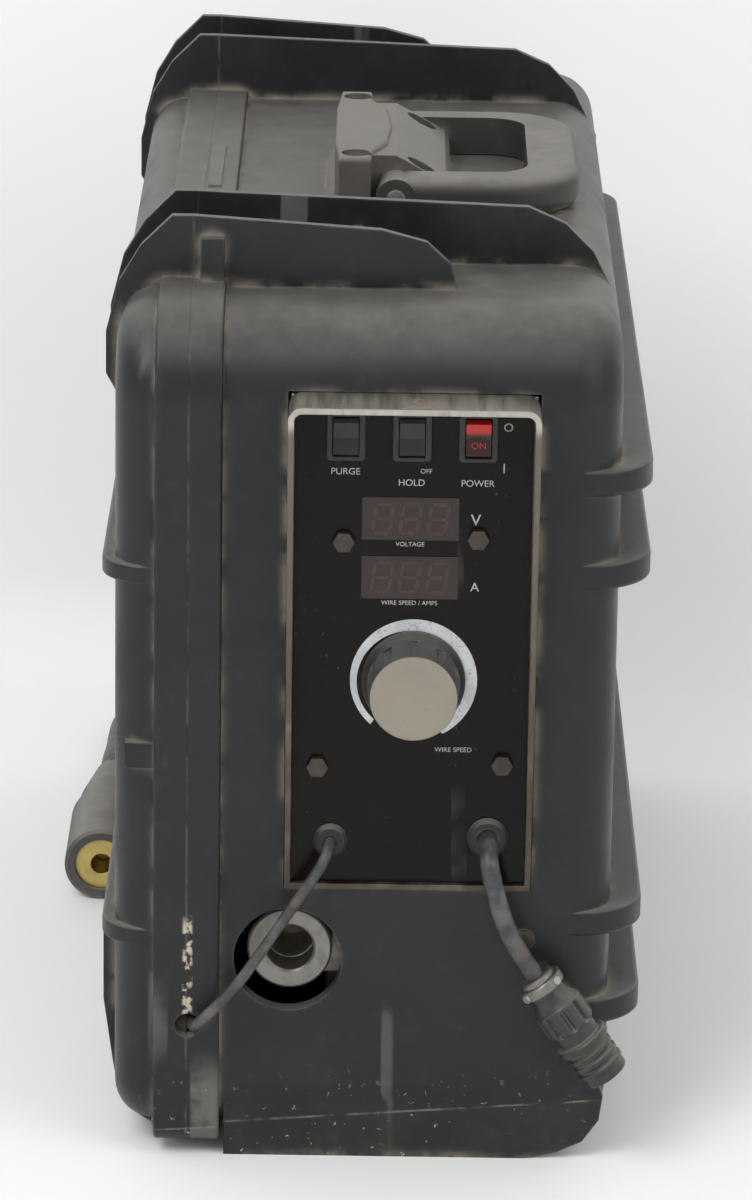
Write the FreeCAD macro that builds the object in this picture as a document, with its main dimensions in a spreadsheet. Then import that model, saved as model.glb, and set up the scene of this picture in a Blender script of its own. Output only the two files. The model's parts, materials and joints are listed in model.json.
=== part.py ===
"""Portable wire feeder in a suitcase case, in millimetres.

+X is to the right of the control panel, +Y to the rear, +Z up.
The origin is on the floor under the middle of the case.
"""
import FreeCAD
import Part
import Sketcher
import math
import os
import re

V = FreeCAD.Vector
ALONG = {
    "X": FreeCAD.Rotation(V(0, 1, 0), 90),
    "Y": FreeCAD.Rotation(V(1, 0, 0), -90),
    "Z": FreeCAD.Rotation(),
}

# ---------------------------------------------------------------- sizes
SIZES = {
    # case
    "overall_width": 229,       # over the side rails
    "overall_length": 533,      # panel guard lip to rear rim
    "parting_x": -78,           # plane where door and base meet
    "base_depth": 179,
    "door_depth": 31,
    "wall": 3.2,
    "body_bottom": 9.5,
    "body_height": 360.5,
    "body_front": -242,
    "side_radius": 38,          # upper corners seen from the side
    "low_radius": 24,           # lower corners
    "base_edge_radius": 20,
    "door_edge_radius": 17,
    "rim_stand": 4,             # how far the rims stand out of the shells
    "rim_width": 14,
    "rim_round": 1.6,
    "rim_low_radius": 12,
    # rails and fins
    "rail_thick": 11,
    "door_rail_thick": 8,
    "rail_round": 28,
    "door_rail_round": 19,
    "rail_low": 62,
    "rail_pitch": 40,
    "rail_high": 255,
    "door_rail_low": 95,
    "fin_thick": 4,
    "fin_rise": 30,             # of the fins above the body
    "fin_front": -192,
    "fin_gap": 44,
    "fin_drop": 5,              # fall of the fins' tops to the right
    "front_fin_reach": 33,
    "web_rise": 16,
    "skid_width": 30,
    "skid_front": -240,
    "door_skid_front": -212,
    # hinge
    "knuckle_radius": 3.6,
    "knuckle_length": 30,
    "hinge_pin_radius": 1.6,
    "running_fit": 0.05,
    "hinge_front": -150,
    "hinge_spacing": 300,
    # openings in the front
    "gun_hole_x": -35.3,
    "gun_hole_z": 90,
    "gun_hole_radius": 22.9,
    "gun_lip": 5,
    "gun_lip_depth": 7.5,
    "notch_x": -77.4,
    "notch_z": 61,
    "notch_radius": 5.4,
    # rear recess
    "recess_left": -32,
    "recess_width": 118,
    "recess_bottom": 40,
    "recess_height": 74,
    "recess_depth": 24,
    # control panel
    "panel_left": -37,
    "panel_width": 103.5,
    "panel_bottom": 122.5,
    "panel_height": 216,
    "panel_sheet": 2.5,
    "panel_corner": 6,
    "panel_face": -240,
    "panel_back": -197,
    "guard_foot": -243.5,
    "label_thick": 0.8,
    "fit_gap": 0.3,
    "switch_z": 320,
    "switch_left": -13.4,
    "switch_pitch": 27.3,
    "switch_width": 16.5,
    "switch_height": 21,
    "switch_lip": 2.2,
    "rocker_width": 10.4,
    "rocker_height": 15.6,
    "rocker_stand": 2.6,
    "display_left": -6.3,
    "display_width": 40,
    "display_height": 18.4,
    "display_high": 275.6,
    "display_low": 250.2,
    "display_depth": 16,
    "knob_x": 16,
    "knob_z": 214.7,
    "knob_skirt_radius": 21.6,
    "knob_radius": 19.4,
    "knob_cap_radius": 17.6,
    "knob_front": -266,
    "knob_shaft_radius": 3,
    "pot_radius": 9,
    "pot_depth": 14,
    "sense_x": -17.8,
    "sense_z": 143.6,
    "sense_grommet_radius": 7.2,
    "trigger_x": 48.2,
    "trigger_z": 145.6,
    "trigger_grommet_radius": 8.65,
    "grommet_stand": 3,
    "sense_dia": 4.6,
    "trigger_dia": 8,
    "weld_dia": 14,
    # handle
    "pivot_x": 6,
    "pivot_z": 379,
    "handle_reach": 81,
    "handle_half": 71,
    "arm_width": 18,
    "handle_thick": 17,
    "handle_pin_radius": 4,
    "bracket_head": 134,
    "bracket_top": 396,
    "wing_half": 52,
    "wing_right": 30,
    "head_left": -19,
    "head_right": -5,
    "head_bulge": 8,
    "screw_head_radius": 5.4,
    "counterbore_radius": 6.5,
    # inner plate and drive
    "plate_x": 12,
    "plate_thick": 2,
    "wire_x": -34.5,
    "wire_z": 94,
    "roll_front_y": -150,
    "roll_spacing": 52,
    "roll_drop": 18,
    "roll_radius": 17.4,
    "roll_width": 11,
    "roll_groove": 1.1,
    "gear_module": 1.5,
    "gear_width": 8.2,
    "roll_teeth": 24,
    "pinion_teeth": 16,
    "axle_radius": 6,
    "housing_face_x": -20,
    "housing_skin": 6,
    "housing_front": -184,
    "housing_length": 136,
    "housing_bottom": 36,
    "housing_height": 98,
    "idle_radius": 17,
    "idle_width": 10,
    "idle_axle_radius": 5,
    "arm_inner_x": -41,
    "arm_thick": 11,
    "arm_pivot_y": -62,
    "arm_pivot_z": 120,
    "tension_y": -178,
    "tension_z": 84,
    "tension_rod_radius": 3,
    "tension_slot": 8.8,
    "spring_bottom": 131,
    "spring_top": 156,
    "tension_knob_radius": 11,
    "tension_knob_height": 26,
    "pinion_shaft_radius": 5,
    "gearbox_thick": 26,
    "motor_radius": 31,
    "motor_length": 52,
    "gun_block_front": -222,
    "gun_block_length": 36,
    "gun_block_radius": 18,
    "gun_bore_radius": 10,
    "gun_bore_depth": 28,
    "clamp_screw_radius": 4,
    # spool hub
    "hub_y": 95,
    "hub_z": 190,
    "hub_radius": 25,
    "hub_length": 88,
    "hub_flange_radius": 45,
    "spindle_radius": 10,
    # rear fittings
    "gland_x": -5,
    "gland_z": 72,
    "gas_x": 60,
    "gas_z": 78,
    "gas_radius": 7.9,
    # connector on the weld cable
    "connector_x": -129,
    "connector_y": 70,
    "connector_radius": 17.5,
    "connector_length": 128,
    "socket_radius": 12.5,
    # plug on the trigger cable
    "plug_x": 69,
    "plug_y": -255.5,
    "plug_z": 89.5,
    "plug_angle": 54.5,         # below the horizontal
    "plug_radius": 12,
}

doc = FreeCAD.newDocument("WireFeeder")
sheet = doc.addObject("Spreadsheet::Sheet", "Sizes")
for row, (alias, number) in enumerate(SIZES.items(), start=1):
    sheet.set(f"A{row}", alias)
    sheet.set(f"B{row}", str(number))
    sheet.setAlias(f"B{row}", alias)
doc.recompute()


class Sizes:
    """The sheet's cells, read by their aliases."""

    def __getattr__(self, alias):
        return float(sheet.get(alias))


S = Sizes()
ALIASES = re.compile(r"\b(" + "|".join(sorted(SIZES, key=len, reverse=True)) + r")\b")
parts = {}


# ---------------------------------------------------------------- helpers
def bind(thing, place, rule):
    """Bind one property to a rule written with the sheet's aliases."""
    thing.setExpression(place, ALIASES.sub(r"Sizes.\1", str(rule)))


def put(thing, x="0", y="0", z="0"):
    """Bind where a thing stands."""
    for axis, rule in zip("xyz", (x, y, z)):
        bind(thing, "Placement.Base." + axis, rule)
    return thing


def block(x0, x1, y0, y1, z0, z1):
    """A box between six planes."""
    made = doc.addObject("Part::Box", "Block")
    bind(made, "Length", f"({x1}) - ({x0})")
    bind(made, "Width", f"({y1}) - ({y0})")
    bind(made, "Height", f"({z1}) - ({z0})")
    return put(made, x0, y0, z0)


def rod(axis, start, centre, radius, length):
    """A cylinder along +axis from start; centre is the other two coordinates, in X, Y, Z order."""
    made = doc.addObject("Part::Cylinder", "Rod")
    bind(made, "Radius", radius)
    bind(made, "Height", length)
    made.Placement = FreeCAD.Placement(V(), ALONG[axis])
    spot = list(centre)
    spot.insert("XYZ".index(axis), start)
    return put(made, *spot)


def fuse(*things):
    made = doc.addObject("Part::MultiFuse", "Union")
    made.Shapes = list(things)
    return made


def cut(base, *tools):
    made = doc.addObject("Part::Cut", "Cut")
    made.Base = base
    made.Tool = tools[0] if len(tools) == 1 else fuse(*tools)
    return made


def sketch_on(body, role):
    """A sketch on one of the body's origin planes: XY, XZ or YZ."""
    plane = [f for f in body.Origin.OriginFeatures if f.Role == role + "_Plane"][0]
    made = body.newObject("Sketcher::SketchObject", "Sketch")
    made.AttachmentSupport = [(plane, "")]
    made.MapMode = "FlatFace"
    return made


def draw(sketch, points):
    """A closed outline through points whose coordinates are rules."""
    count = len(points)
    first = sketch.GeometryCount
    spots = [V(i, i * i % 7, 0) for i in range(count)]
    for i in range(count):
        sketch.addGeometry(Part.LineSegment(spots[i], spots[(i + 1) % count]))
    for i in range(count):
        after = first + (i + 1) % count
        sketch.addConstraint(Sketcher.Constraint("Coincident", first + i, 2, after, 1))
    for i, pair in enumerate(points):
        for kind, rule in zip(("DistanceX", "DistanceY"), pair):
            at = sketch.addConstraint(Sketcher.Constraint(kind, -1, 1, first + i, 1, 1.0))
            bind(sketch, f"Constraints[{at}]", rule)


def padded(role, points, depth, start="0"):
    """A body padded along + from a plane; start is the offset along the plane's normal."""
    body = doc.addObject("PartDesign::Body", "Body")
    sketch = sketch_on(body, role)
    draw(sketch, points)
    pad = body.newObject("PartDesign::Pad", "Pad")
    pad.Profile = sketch
    pad.Reversed = role == "XZ"
    bind(pad, "Length", depth)
    put(body, **{{"XY": "z", "XZ": "y", "YZ": "x"}[role]: start})
    doc.recompute()
    return body


def turned(axis, points, x="0", y="0", z="0"):
    """A body turned about an axis: points are (radius, distance along the axis)."""
    body = doc.addObject("PartDesign::Body", "Body")
    sketch = sketch_on(body, "XZ")
    draw(sketch, points)
    turn = body.newObject("PartDesign::Revolution", "Turn")
    turn.Profile = sketch
    turn.ReferenceAxis = (sketch, ["V_Axis"])
    turn.Angle = 360
    body.Placement = FreeCAD.Placement(V(), ALONG[axis])
    put(body, x, y, z)
    doc.recompute()
    return body


def rounded(body, radius, chosen):
    """Round the edges of a body's last feature that chosen picks."""
    doc.recompute()
    last = body.Tip
    shape = last.Shape
    names = [f"Edge{i}" for i, e in enumerate(shape.Edges, 1) if chosen(e, shape.BoundBox)]
    fillet = body.newObject("PartDesign::Fillet", "Round")
    fillet.Base = (last, names)
    bind(fillet, "Radius", radius)
    body.Tip = fillet
    doc.recompute()
    return body


def runs_along(axis):
    """Chooses the straight edges parallel to an axis."""
    way = {"X": V(1, 0, 0), "Y": V(0, 1, 0), "Z": V(0, 0, 1)}[axis]

    def chosen(edge, box):
        line = isinstance(edge.Curve, Part.Line)
        return line and abs(edge.Curve.Direction.dot(way)) > 0.99

    return chosen


def all_of(*rules):
    """Chooses the edges that every rule chooses."""
    return lambda edge, box: all(rule(edge, box) for rule in rules)


def lies_at(axis, end):
    """Chooses the edges that lie in the body's lowest (Min) or highest (Max) plane of an axis."""

    def chosen(edge, box):
        level = getattr(box, axis + end)
        own = edge.BoundBox
        return abs(getattr(own, axis + "Min") - level) < 1e-3 and (
            abs(getattr(own, axis + "Max") - level) < 1e-3
        )

    return chosen


def solid(name, shape, x=0, y=0, z=0):
    """A plain feature for a shape made with Part's own functions."""
    made = doc.addObject("Part::Feature", "Shape")
    made.Shape = shape
    made.Placement = FreeCAD.Placement(V(x, y, z), made.Placement.Rotation)
    return made


def node(name, thing):
    """Give a finished piece its name."""
    thing.Label = name
    parts[name] = thing
    return thing


def group(name, things):
    """Identical separate pieces in one node."""
    made = doc.addObject("Part::Compound", "Group")
    made.Links = list(things)
    return node(name, made)


# ---------------------------------------------------------------- the two case shells
BODY_TOP = "body_bottom + body_height"
FIN_TOP = f"{BODY_TOP} + fin_rise"
HINGE_Z = "body_bottom - rim_stand"
BODY_REAR = "overall_length / 2 - rim_stand"
BASE_FACE = "parting_x + base_depth"
DOOR_FACE = "parting_x - door_depth"
RAIL_X = "overall_width / 2"


def side_outline(grow):
    """The case's rectangle seen from the side, grown by a rule."""
    low, high = f"body_bottom - ({grow})", f"{BODY_TOP} + ({grow})"
    front, rear = f"body_front - ({grow})", f"{BODY_REAR} + ({grow})"
    return [(front, low), (rear, low), (rear, high), (front, high)]


def tray(start, depth, grow, high_radius, low_radius, edge_radius, face):
    """A block with rounded corners whose outer face (Min or Max in X) has rounded edges."""
    made = padded("YZ", side_outline(grow), depth, start)
    rounded(made, high_radius, all_of(runs_along("X"), lies_at("Z", "Max")))
    rounded(made, low_radius, all_of(runs_along("X"), lies_at("Z", "Min")))
    return rounded(made, edge_radius, lies_at("X", face))


def fin(outline, start):
    """A transverse fin or skid: an outline in X and Z, fin_thick thick."""
    return padded("XZ", outline, "fin_thick", start)


def fin_places():
    """Start planes of the four fins with the length of their crests: (y, long)."""
    rear = f"(body_front + {BODY_REAR}) - fin_front - fin_thick"
    return [
        ("fin_front", False),
        ("fin_front + fin_gap", True),
        (f"{rear} - fin_gap", True),
        (rear, False),
    ]


def base_shell():
    outer = tray("parting_x", "base_depth", "0", "side_radius", "low_radius",
                 "base_edge_radius", "Max")
    rim = tray("parting_x", "rim_width", "rim_stand", "side_radius + rim_stand",
               "rim_low_radius", "rim_round", "Max")
    inner = tray(
        "parting_x - 1", "base_depth + 1 - wall", "-wall", "side_radius - wall",
        "low_radius - wall", "base_edge_radius - wall", "Max",
    )
    pieces = [outer, rim]
    for low in ("rail_low", "rail_low + rail_pitch", "rail_high", "rail_high + rail_pitch"):
        pieces.append(rail(low, "rail_thick", "40", RAIL_X, "rail_round", "Max"))
    short = [
        ("parting_x", "330"), ("parting_x", FIN_TOP), ("0", f"{FIN_TOP} - fin_drop"),
        ("19", f"{FIN_TOP} - fin_drop - 5"), ("29", f"{FIN_TOP} - fin_drop - 14"),
        ("front_fin_reach", f"{BODY_TOP} - 4"), ("front_fin_reach", "330"),
    ]
    long = [
        ("parting_x", "330"), ("parting_x", FIN_TOP), ("62", f"{FIN_TOP} - fin_drop"),
        ("78", f"{FIN_TOP} - 12"), ("90", f"{FIN_TOP} - 24"), (BASE_FACE, f"{FIN_TOP} - 46"),
        (BASE_FACE, "322"), ("60", "322"),
    ]
    for start, is_long in fin_places():
        pieces.append(fin(long if is_long else short, start))
    front_web, rear_web = fin_places()[0][0], fin_places()[2][0]
    for x, start in (("-12", front_web), ("-48", front_web), ("-7", rear_web)):
        pieces.append(block(
            x, f"{x} + fin_thick", start, f"{start} + fin_gap + fin_thick", "350", f"{BODY_TOP} + web_rise"
        ))
    skid = [
        ("-62", "30"), ("-62", "0"), ("66", "0"), ("80", "3"), ("91", "8"),
        ("98", "18"), ("99.5", "29"), ("96", "38"), ("60", "44"),
    ]
    rear_skid = f"(body_front + {BODY_REAR}) - skid_front - skid_width"
    for start in ("skid_front", rear_skid):
        pieces.append(padded("XZ", skid, "skid_width", start))
    pieces.append(block("parting_x + 3", "parting_x + 13", "fin_front - 7", "fin_front",
                        "350", f"{FIN_TOP} - 8"))
    lip = rod("Y", "body_front", ("gun_hole_x", "gun_hole_z"), "gun_hole_radius + gun_lip",
              "gun_lip_depth")
    recess = block(
        "recess_left", "recess_left + recess_width", f"{BODY_REAR} - recess_depth - wall",
        f"{BODY_REAR} - wall / 2", "recess_bottom", "recess_bottom + recess_height",
    )
    knuckles = [base_knuckle(start) for start in HINGES]
    shell = fuse(cut(fuse(*pieces), inner), lip, recess, *knuckles)
    holes = [
        rod("Y", "body_front - 9", ("gun_hole_x", "gun_hole_z"), "gun_hole_radius", "30"),
        rod("Y", "body_front - 9", ("notch_x", "notch_z"), "notch_radius", "30"),
        block("panel_left - fit_gap", "panel_left + panel_width + fit_gap", "body_front - 9",
              "body_front + 20", "panel_bottom - fit_gap",
              "panel_bottom + panel_height + fit_gap"),
        block("recess_left + wall", "recess_left + recess_width - wall",
              f"{BODY_REAR} - recess_depth", f"{BODY_REAR} + 9", "recess_bottom + wall",
              "recess_bottom + recess_height - wall"),
        rod("Y", f"{BODY_REAR} - recess_depth - 9", ("gland_x", "gland_z"),
            "weld_dia / 2 + 4 + running_fit", "18"),
        rod("Y", f"{BODY_REAR} - recess_depth - 9", ("gas_x", "gas_z"),
            "gas_radius + running_fit", "18"),
    ]
    holes += [pin_hole(start) for start in HINGES]
    holes += [hole for start in HINGES for hole in door_knuckles(start, "knuckle_radius + 0.6")]
    return cut(shell, *holes)


def rail(low, thick, x0, x1, radius, face):
    """A bumper rail along the case side that wraps its corners."""
    made = padded("XY", [(x0, "body_front"), (x1, "body_front"), (x1, BODY_REAR), (x0, BODY_REAR)],
                  thick, low)

    def outer(edge, box):
        level = getattr(box, "X" + face)
        return runs_along("Z")(edge, box) and abs(edge.BoundBox.XMin - level) < 1e-3

    rounded(made, radius, outer)
    return rounded(made, "rim_round", lies_at("X", face))


# ---------------------------------------------------------------- hinge
HINGES = ("hinge_front", "hinge_front + hinge_spacing")


def base_knuckle(start):
    return rod("Y", start, ("parting_x", HINGE_Z), "knuckle_radius", "knuckle_length")


def door_knuckles(start, radius):
    """The two knuckles beside a base knuckle, each half as long."""
    half = "knuckle_length / 2"
    return [
        rod("Y", f"{start} - {half} - fit_gap / 2", ("parting_x", HINGE_Z), radius, half),
        rod("Y", f"{start} + knuckle_length + fit_gap / 2", ("parting_x", HINGE_Z), radius, half),
    ]


def pin_hole(start):
    return rod("Y", f"{start} - knuckle_length", ("parting_x", HINGE_Z),
               "hinge_pin_radius + running_fit", "3 * knuckle_length")


def hinge_pins():
    group("hinge_pins", [
        rod("Y", f"{start} - knuckle_length / 2", ("parting_x", HINGE_Z), "hinge_pin_radius",
            "2 * knuckle_length")
        for start in HINGES
    ])


def door_shell():
    outer = tray(DOOR_FACE, "door_depth", "0", "side_radius", "low_radius",
                 "door_edge_radius", "Min")
    rim = tray("parting_x - rim_width", "rim_width", "rim_stand", "side_radius + rim_stand",
               "rim_low_radius", "rim_round", "Min")
    inner = tray(f"{DOOR_FACE} + wall", "door_depth - wall + 1", "-wall", "side_radius - wall",
                 "low_radius - wall", "door_edge_radius - wall", "Min")
    pieces = [outer, rim]
    for low in ("door_rail_low", "rail_high"):
        pieces.append(rail(low, "door_rail_thick", f"-({RAIL_X})", "parting_x - 6",
                           "door_rail_round", "Min"))
    pieces.append(block(f"{DOOR_FACE} + 5", "parting_x - rim_width + 1", "body_front - 1.5",
                        "body_front + 12", "175", "186"))
    crest = [
        ("parting_x", "330"), ("parting_x", FIN_TOP), ("parting_x - 9", FIN_TOP),
        ("-100", f"{FIN_TOP} - 13"), ("-109", f"{FIN_TOP} - 28"), (f"-({RAIL_X})", f"{FIN_TOP} - 50"),
        (f"-({RAIL_X})", "332"), (DOOR_FACE, "322"), ("-90", "322"),
    ]
    for start, is_long in fin_places():
        pieces.append(fin(crest, start))
    skid = [
        ("-94", "40"), ("-94", "3"), ("-101", "7.5"), ("-108", "17.5"), ("-110.5", "31"),
        (f"-({RAIL_X})", "60"), (f"-({RAIL_X})", "90"), (DOOR_FACE, "97"), ("-100", "97"),
    ]
    rear_skid = f"(body_front + {BODY_REAR}) - door_skid_front - skid_width"
    for start in ("door_skid_front", rear_skid):
        pieces.append(padded("XZ", skid, "skid_width", start))
    knuckles = [made for start in HINGES for made in door_knuckles(start, "knuckle_radius")]
    shell = fuse(cut(fuse(*pieces), inner), *knuckles)
    holes = [rod("Y", "body_front - 9", ("notch_x", "notch_z"), "notch_radius", "30")]
    holes += [pin_hole(start) for start in HINGES]
    holes += [
        rod("Y", f"{start} - fit_gap / 2", ("parting_x", HINGE_Z), "knuckle_radius + 0.6",
            "knuckle_length + fit_gap")
        for start in HINGES
    ]
    return cut(shell, *holes)


def door_seal():
    """A flat rubber frame just inside the door's rim."""
    ring = tray("parting_x - 5", "5", "-wall - fit_gap", "side_radius - wall - fit_gap",
                "low_radius - wall - fit_gap", "0.8", "Min")
    hollow = tray("parting_x - 6", "7", "-wall - 4", "side_radius - wall - 4",
                  "low_radius - wall - 4", "0.1", "Min")
    node("door_seal", cut(ring, hollow))


def case_pieces():
    node("base_case", base_shell())
    node("door", door_shell())
    door_seal()
    hinge_pins()
    leaf = block("parting_x + 1", "parting_x + 7", "-32", "46", f"{BODY_TOP} + rim_stand",
                 f"{BODY_TOP} + rim_stand + 0.8")
    node("latch_spring", leaf)


# ---------------------------------------------------------------- handle
HEAD_SCREWS = [("-11.5", "-56"), ("-11.5", "56")]
WING_SCREWS = [("17.5", "-44"), ("17.5", "44")]


def handle_pieces():
    end, waist, middle = "bracket_head / 2", "wing_half - 1", "bracket_head / 4"
    head = padded("XY", [
        ("head_left", f"-{end}"), ("head_right", f"-{end}"), ("head_right + 0.5", f"-({waist})"),
        ("head_right + head_bulge - 1", f"-{middle}"), ("head_right + head_bulge + 1", "0"),
        ("head_right + head_bulge - 1", middle), ("head_right + 0.5", waist),
        ("head_right", end), ("head_left", end), ("head_left - 2", middle),
        ("head_left - 2", f"-{middle}"),
    ], f"bracket_top - ({BODY_TOP})", BODY_TOP)
    rounded(head, "2", lies_at("Z", "Max"))
    foot = padded("XY", [
        ("head_left", f"-{end} - 3"), ("head_right", f"-{end} - 3"), ("head_right", f"{end} + 3"),
        ("head_left", f"{end} + 3"), ("head_left - 6", middle), ("head_left - 6", f"-{middle}"),
    ], "2", BODY_TOP)
    wing = padded("XZ", [
        ("head_left + 8", BODY_TOP), ("head_left + 8", "bracket_top - 2"),
        ("head_right + head_bulge + 3", "bracket_top - 2"),
        ("wing_right - 2", f"{BODY_TOP} + 12"), ("wing_right", f"{BODY_TOP} + 9"),
        ("wing_right", BODY_TOP),
    ], "2 * wing_half", "-wing_half")
    bores = [rod("Y", "-100", ("pivot_x", "pivot_z"), "handle_pin_radius + running_fit", "200")]
    screws = []
    for x, y in HEAD_SCREWS + WING_SCREWS:
        seat = "bracket_top - 7" if (x, y) in HEAD_SCREWS else f"{BODY_TOP} + 8"
        bores.append(rod("Z", seat, (x, y), "counterbore_radius", "40"))
        bore = turned("Z", [
            ("0", "2"), ("0", "0"), ("screw_head_radius", "0"), ("screw_head_radius", "3"),
            ("screw_head_radius - 1.5", "4.4"), ("1.6", "4.4"), ("1.6", "2"),
        ], x, y, seat)
        screws.append(bore)
    node("handle_bracket", cut(fuse(head, foot, wing), *bores))
    group("handle_screws", screws)
    node("handle_pin", rod("Y", "-handle_half - 1", ("pivot_x", "pivot_z"), "handle_pin_radius",
                           "2 * handle_half + 2"))

    loop = padded("XY", [
        ("pivot_x", "-handle_half"), ("pivot_x + handle_reach", "-handle_half"),
        ("pivot_x + handle_reach", "handle_half"), ("pivot_x", "handle_half"),
    ], "handle_thick", "pivot_z - handle_thick / 2")
    window = padded("XY", [
        ("pivot_x - 9", "-handle_half + arm_width"),
        ("pivot_x + handle_reach - 23", "-handle_half + arm_width"),
        ("pivot_x + handle_reach - 23", "handle_half - arm_width"),
        ("pivot_x - 9", "handle_half - arm_width"),
    ], "handle_thick + 2", "pivot_z - handle_thick / 2 - 1")

    def far_corner(edge, box):
        return runs_along("Z")(edge, box) and edge.BoundBox.XMin > box.Center.x

    rounded(loop, "34", far_corner)
    rounded(loop, "6.5", lies_at("Z", "Max"))
    rounded(loop, "6.5", lies_at("Z", "Min"))
    rounded(window, "16", far_corner)
    bosses = [
        rod("Y", side, ("pivot_x", "pivot_z"), "handle_thick / 2 + 0.3", "arm_width")
        for side in ("-handle_half", "handle_half - arm_width")
    ]
    bore = rod("Y", "-handle_half - 9", ("pivot_x", "pivot_z"),
               "handle_pin_radius + running_fit", "2 * handle_half + 18")
    node("handle", cut(fuse(cut(loop, window), *bosses), bore))


# ---------------------------------------------------------------- control panel
SWITCHES = {
    "purge": "switch_left",
    "hold": "switch_left + switch_pitch",
    "power": "switch_left + 2 * switch_pitch",
}
DISPLAYS = {"voltage_display": "display_high", "speed_display": "display_low"}
PANEL_SCREWS = [("-13.8", "274.9"), ("41.9", "276.7"), ("-23.7", "176.5"), ("53.6", "178.3")]
LABEL = "panel_face - label_thick"


def panel_holes(start, depth):
    """Cutters for everything that passes through the panel's face and label."""
    holes = []
    for x in SWITCHES.values():
        holes.append(block(f"{x} - switch_width / 2 + 1", f"{x} + switch_width / 2 - 1", start,
                           f"{start} + {depth}", "switch_z - switch_height / 2 + 1",
                           "switch_z + switch_height / 2 - 1"))
    for low in DISPLAYS.values():
        holes.append(block("display_left", "display_left + display_width", start,
                           f"{start} + {depth}", low, f"{low} + display_height"))
    for x, z in PANEL_SCREWS:
        holes.append(rod("Y", start, (x, z), "2", depth))
    holes.append(rod("Y", start, ("knob_x", "knob_z"), "5", depth))
    holes.append(rod("Y", start, ("sense_x", "sense_z"), "sense_grommet_radius - 1.9", depth))
    holes.append(rod("Y", start, ("trigger_x", "trigger_z"),
                     "trigger_grommet_radius - 1.9", depth))
    return holes


def control_panel():
    lip = "-overall_length / 2"
    right, top = "panel_left + panel_width", "panel_bottom + panel_height"
    outer = padded("XZ", [("panel_left", "panel_bottom"), (right, "panel_bottom"), (right, top),
                          ("panel_left", top)], f"panel_back - ({lip})", lip)

    def upper(edge, box):
        return runs_along("Y")(edge, box) and edge.BoundBox.ZMin > box.Center.z

    rounded(outer, "panel_corner", upper)
    hollow = padded("XZ", [
        ("panel_left + panel_sheet", "panel_bottom + panel_sheet"),
        (f"{right} - panel_sheet", "panel_bottom + panel_sheet"),
        (f"{right} - panel_sheet", f"{top} - panel_sheet"),
        ("panel_left + panel_sheet", f"{top} - panel_sheet"),
    ], f"panel_back - ({lip}) + 2", f"{lip} - 1")
    rounded(hollow, "panel_corner - panel_sheet", upper)
    slope = padded("YZ", [
        (f"{lip} - 9", "panel_bottom - 9"), ("guard_foot", "panel_bottom - 9"),
        ("guard_foot", "panel_bottom"), (lip, f"{top} - 4"), (f"{lip} - 9", f"{top} - 4"),
    ], "panel_width + 20", "panel_left - 10")
    face = block("panel_left + 1", f"{right} - 1", "panel_face", "panel_face + panel_sheet",
                 "panel_bottom + 1", f"{top} - 1")
    folded = fuse(cut(outer, hollow, slope), face)
    node("control_panel", cut(folded, *panel_holes("panel_face - 5", "12")))
    label = padded("XZ", [
        ("panel_left + panel_sheet + fit_gap", "panel_bottom + panel_sheet + fit_gap"),
        (f"{right} - panel_sheet - fit_gap", "panel_bottom + panel_sheet + fit_gap"),
        (f"{right} - panel_sheet - fit_gap", f"{top} - panel_sheet - fit_gap"),
        ("panel_left + panel_sheet + fit_gap", f"{top} - panel_sheet - fit_gap"),
    ], "label_thick", LABEL)
    rounded(label, "panel_corner - panel_sheet", upper)
    node("panel_label", cut(label, *panel_holes("panel_face - 5", "12")))


def panel_screws():
    made = []
    for x, z in PANEL_SCREWS:
        shank = rod("Y", LABEL, (x, z), "2 - running_fit", "12")
        head = doc.addObject("Part::Prism", "Hexagon")
        head.Polygon = 6
        bind(head, "Circumradius", "4 / cos(30)")
        bind(head, "Height", "3.5")
        head.Placement = FreeCAD.Placement(V(), ALONG["Y"])
        put(head, x, f"{LABEL} - 3.5", z)
        made.append(fuse(shank, head))
    group("panel_screws", made)


def switches():
    frames = []
    for name, x in SWITCHES.items():
        low, high = "switch_z - switch_height / 2", "switch_z + switch_height / 2"
        lip = padded("XZ", [
            (f"{x} - switch_width / 2", low), (f"{x} + switch_width / 2", low),
            (f"{x} + switch_width / 2", high), (f"{x} - switch_width / 2", high),
        ], "switch_lip", f"{LABEL} - switch_lip")
        rounded(lip, "2", runs_along("Y"))
        rounded(lip, "0.8", lies_at("Y", "Min"))
        can = block(f"{x} - switch_width / 2 + 1", f"{x} + switch_width / 2 - 1", LABEL,
                    f"{LABEL} + 26", f"{low} + 1", f"{high} - 1")
        well = block(f"{x} - rocker_width / 2 - fit_gap", f"{x} + rocker_width / 2 + fit_gap",
                     f"{LABEL} - 9", f"{LABEL} + 12", "switch_z - rocker_height / 2 - 0.8",
                     "switch_z + rocker_height / 2 + 0.8")
        frames.append(cut(fuse(lip, can), well))
        pivot = f"{LABEL} + 3"
        half = "rocker_height / 2"
        cap = padded("YZ", [
            (f"{pivot} - 3 - switch_lip - 0.8", "switch_z"),
            (f"{pivot} - 3 - switch_lip - rocker_stand", f"switch_z - {half} + 1"),
            (f"{pivot} - 3 - switch_lip + 1", f"switch_z - {half}"),
            (f"{pivot} + 1", f"switch_z - {half} + 1.5"),
            (f"{pivot} + 4", "switch_z - 3"), (f"{pivot} + 4", "switch_z + 3"),
            (f"{pivot} + 1", f"switch_z + {half} - 1.5"),
            (f"{pivot} - 3 - switch_lip + 1", f"switch_z + {half}"),
            (f"{pivot} - 3 - switch_lip - rocker_stand", f"switch_z + {half} - 1"),
        ], "rocker_width", f"{x} - rocker_width / 2")
        node(f"{name}_rocker", cap)
    group("switch_frames", frames)


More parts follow.
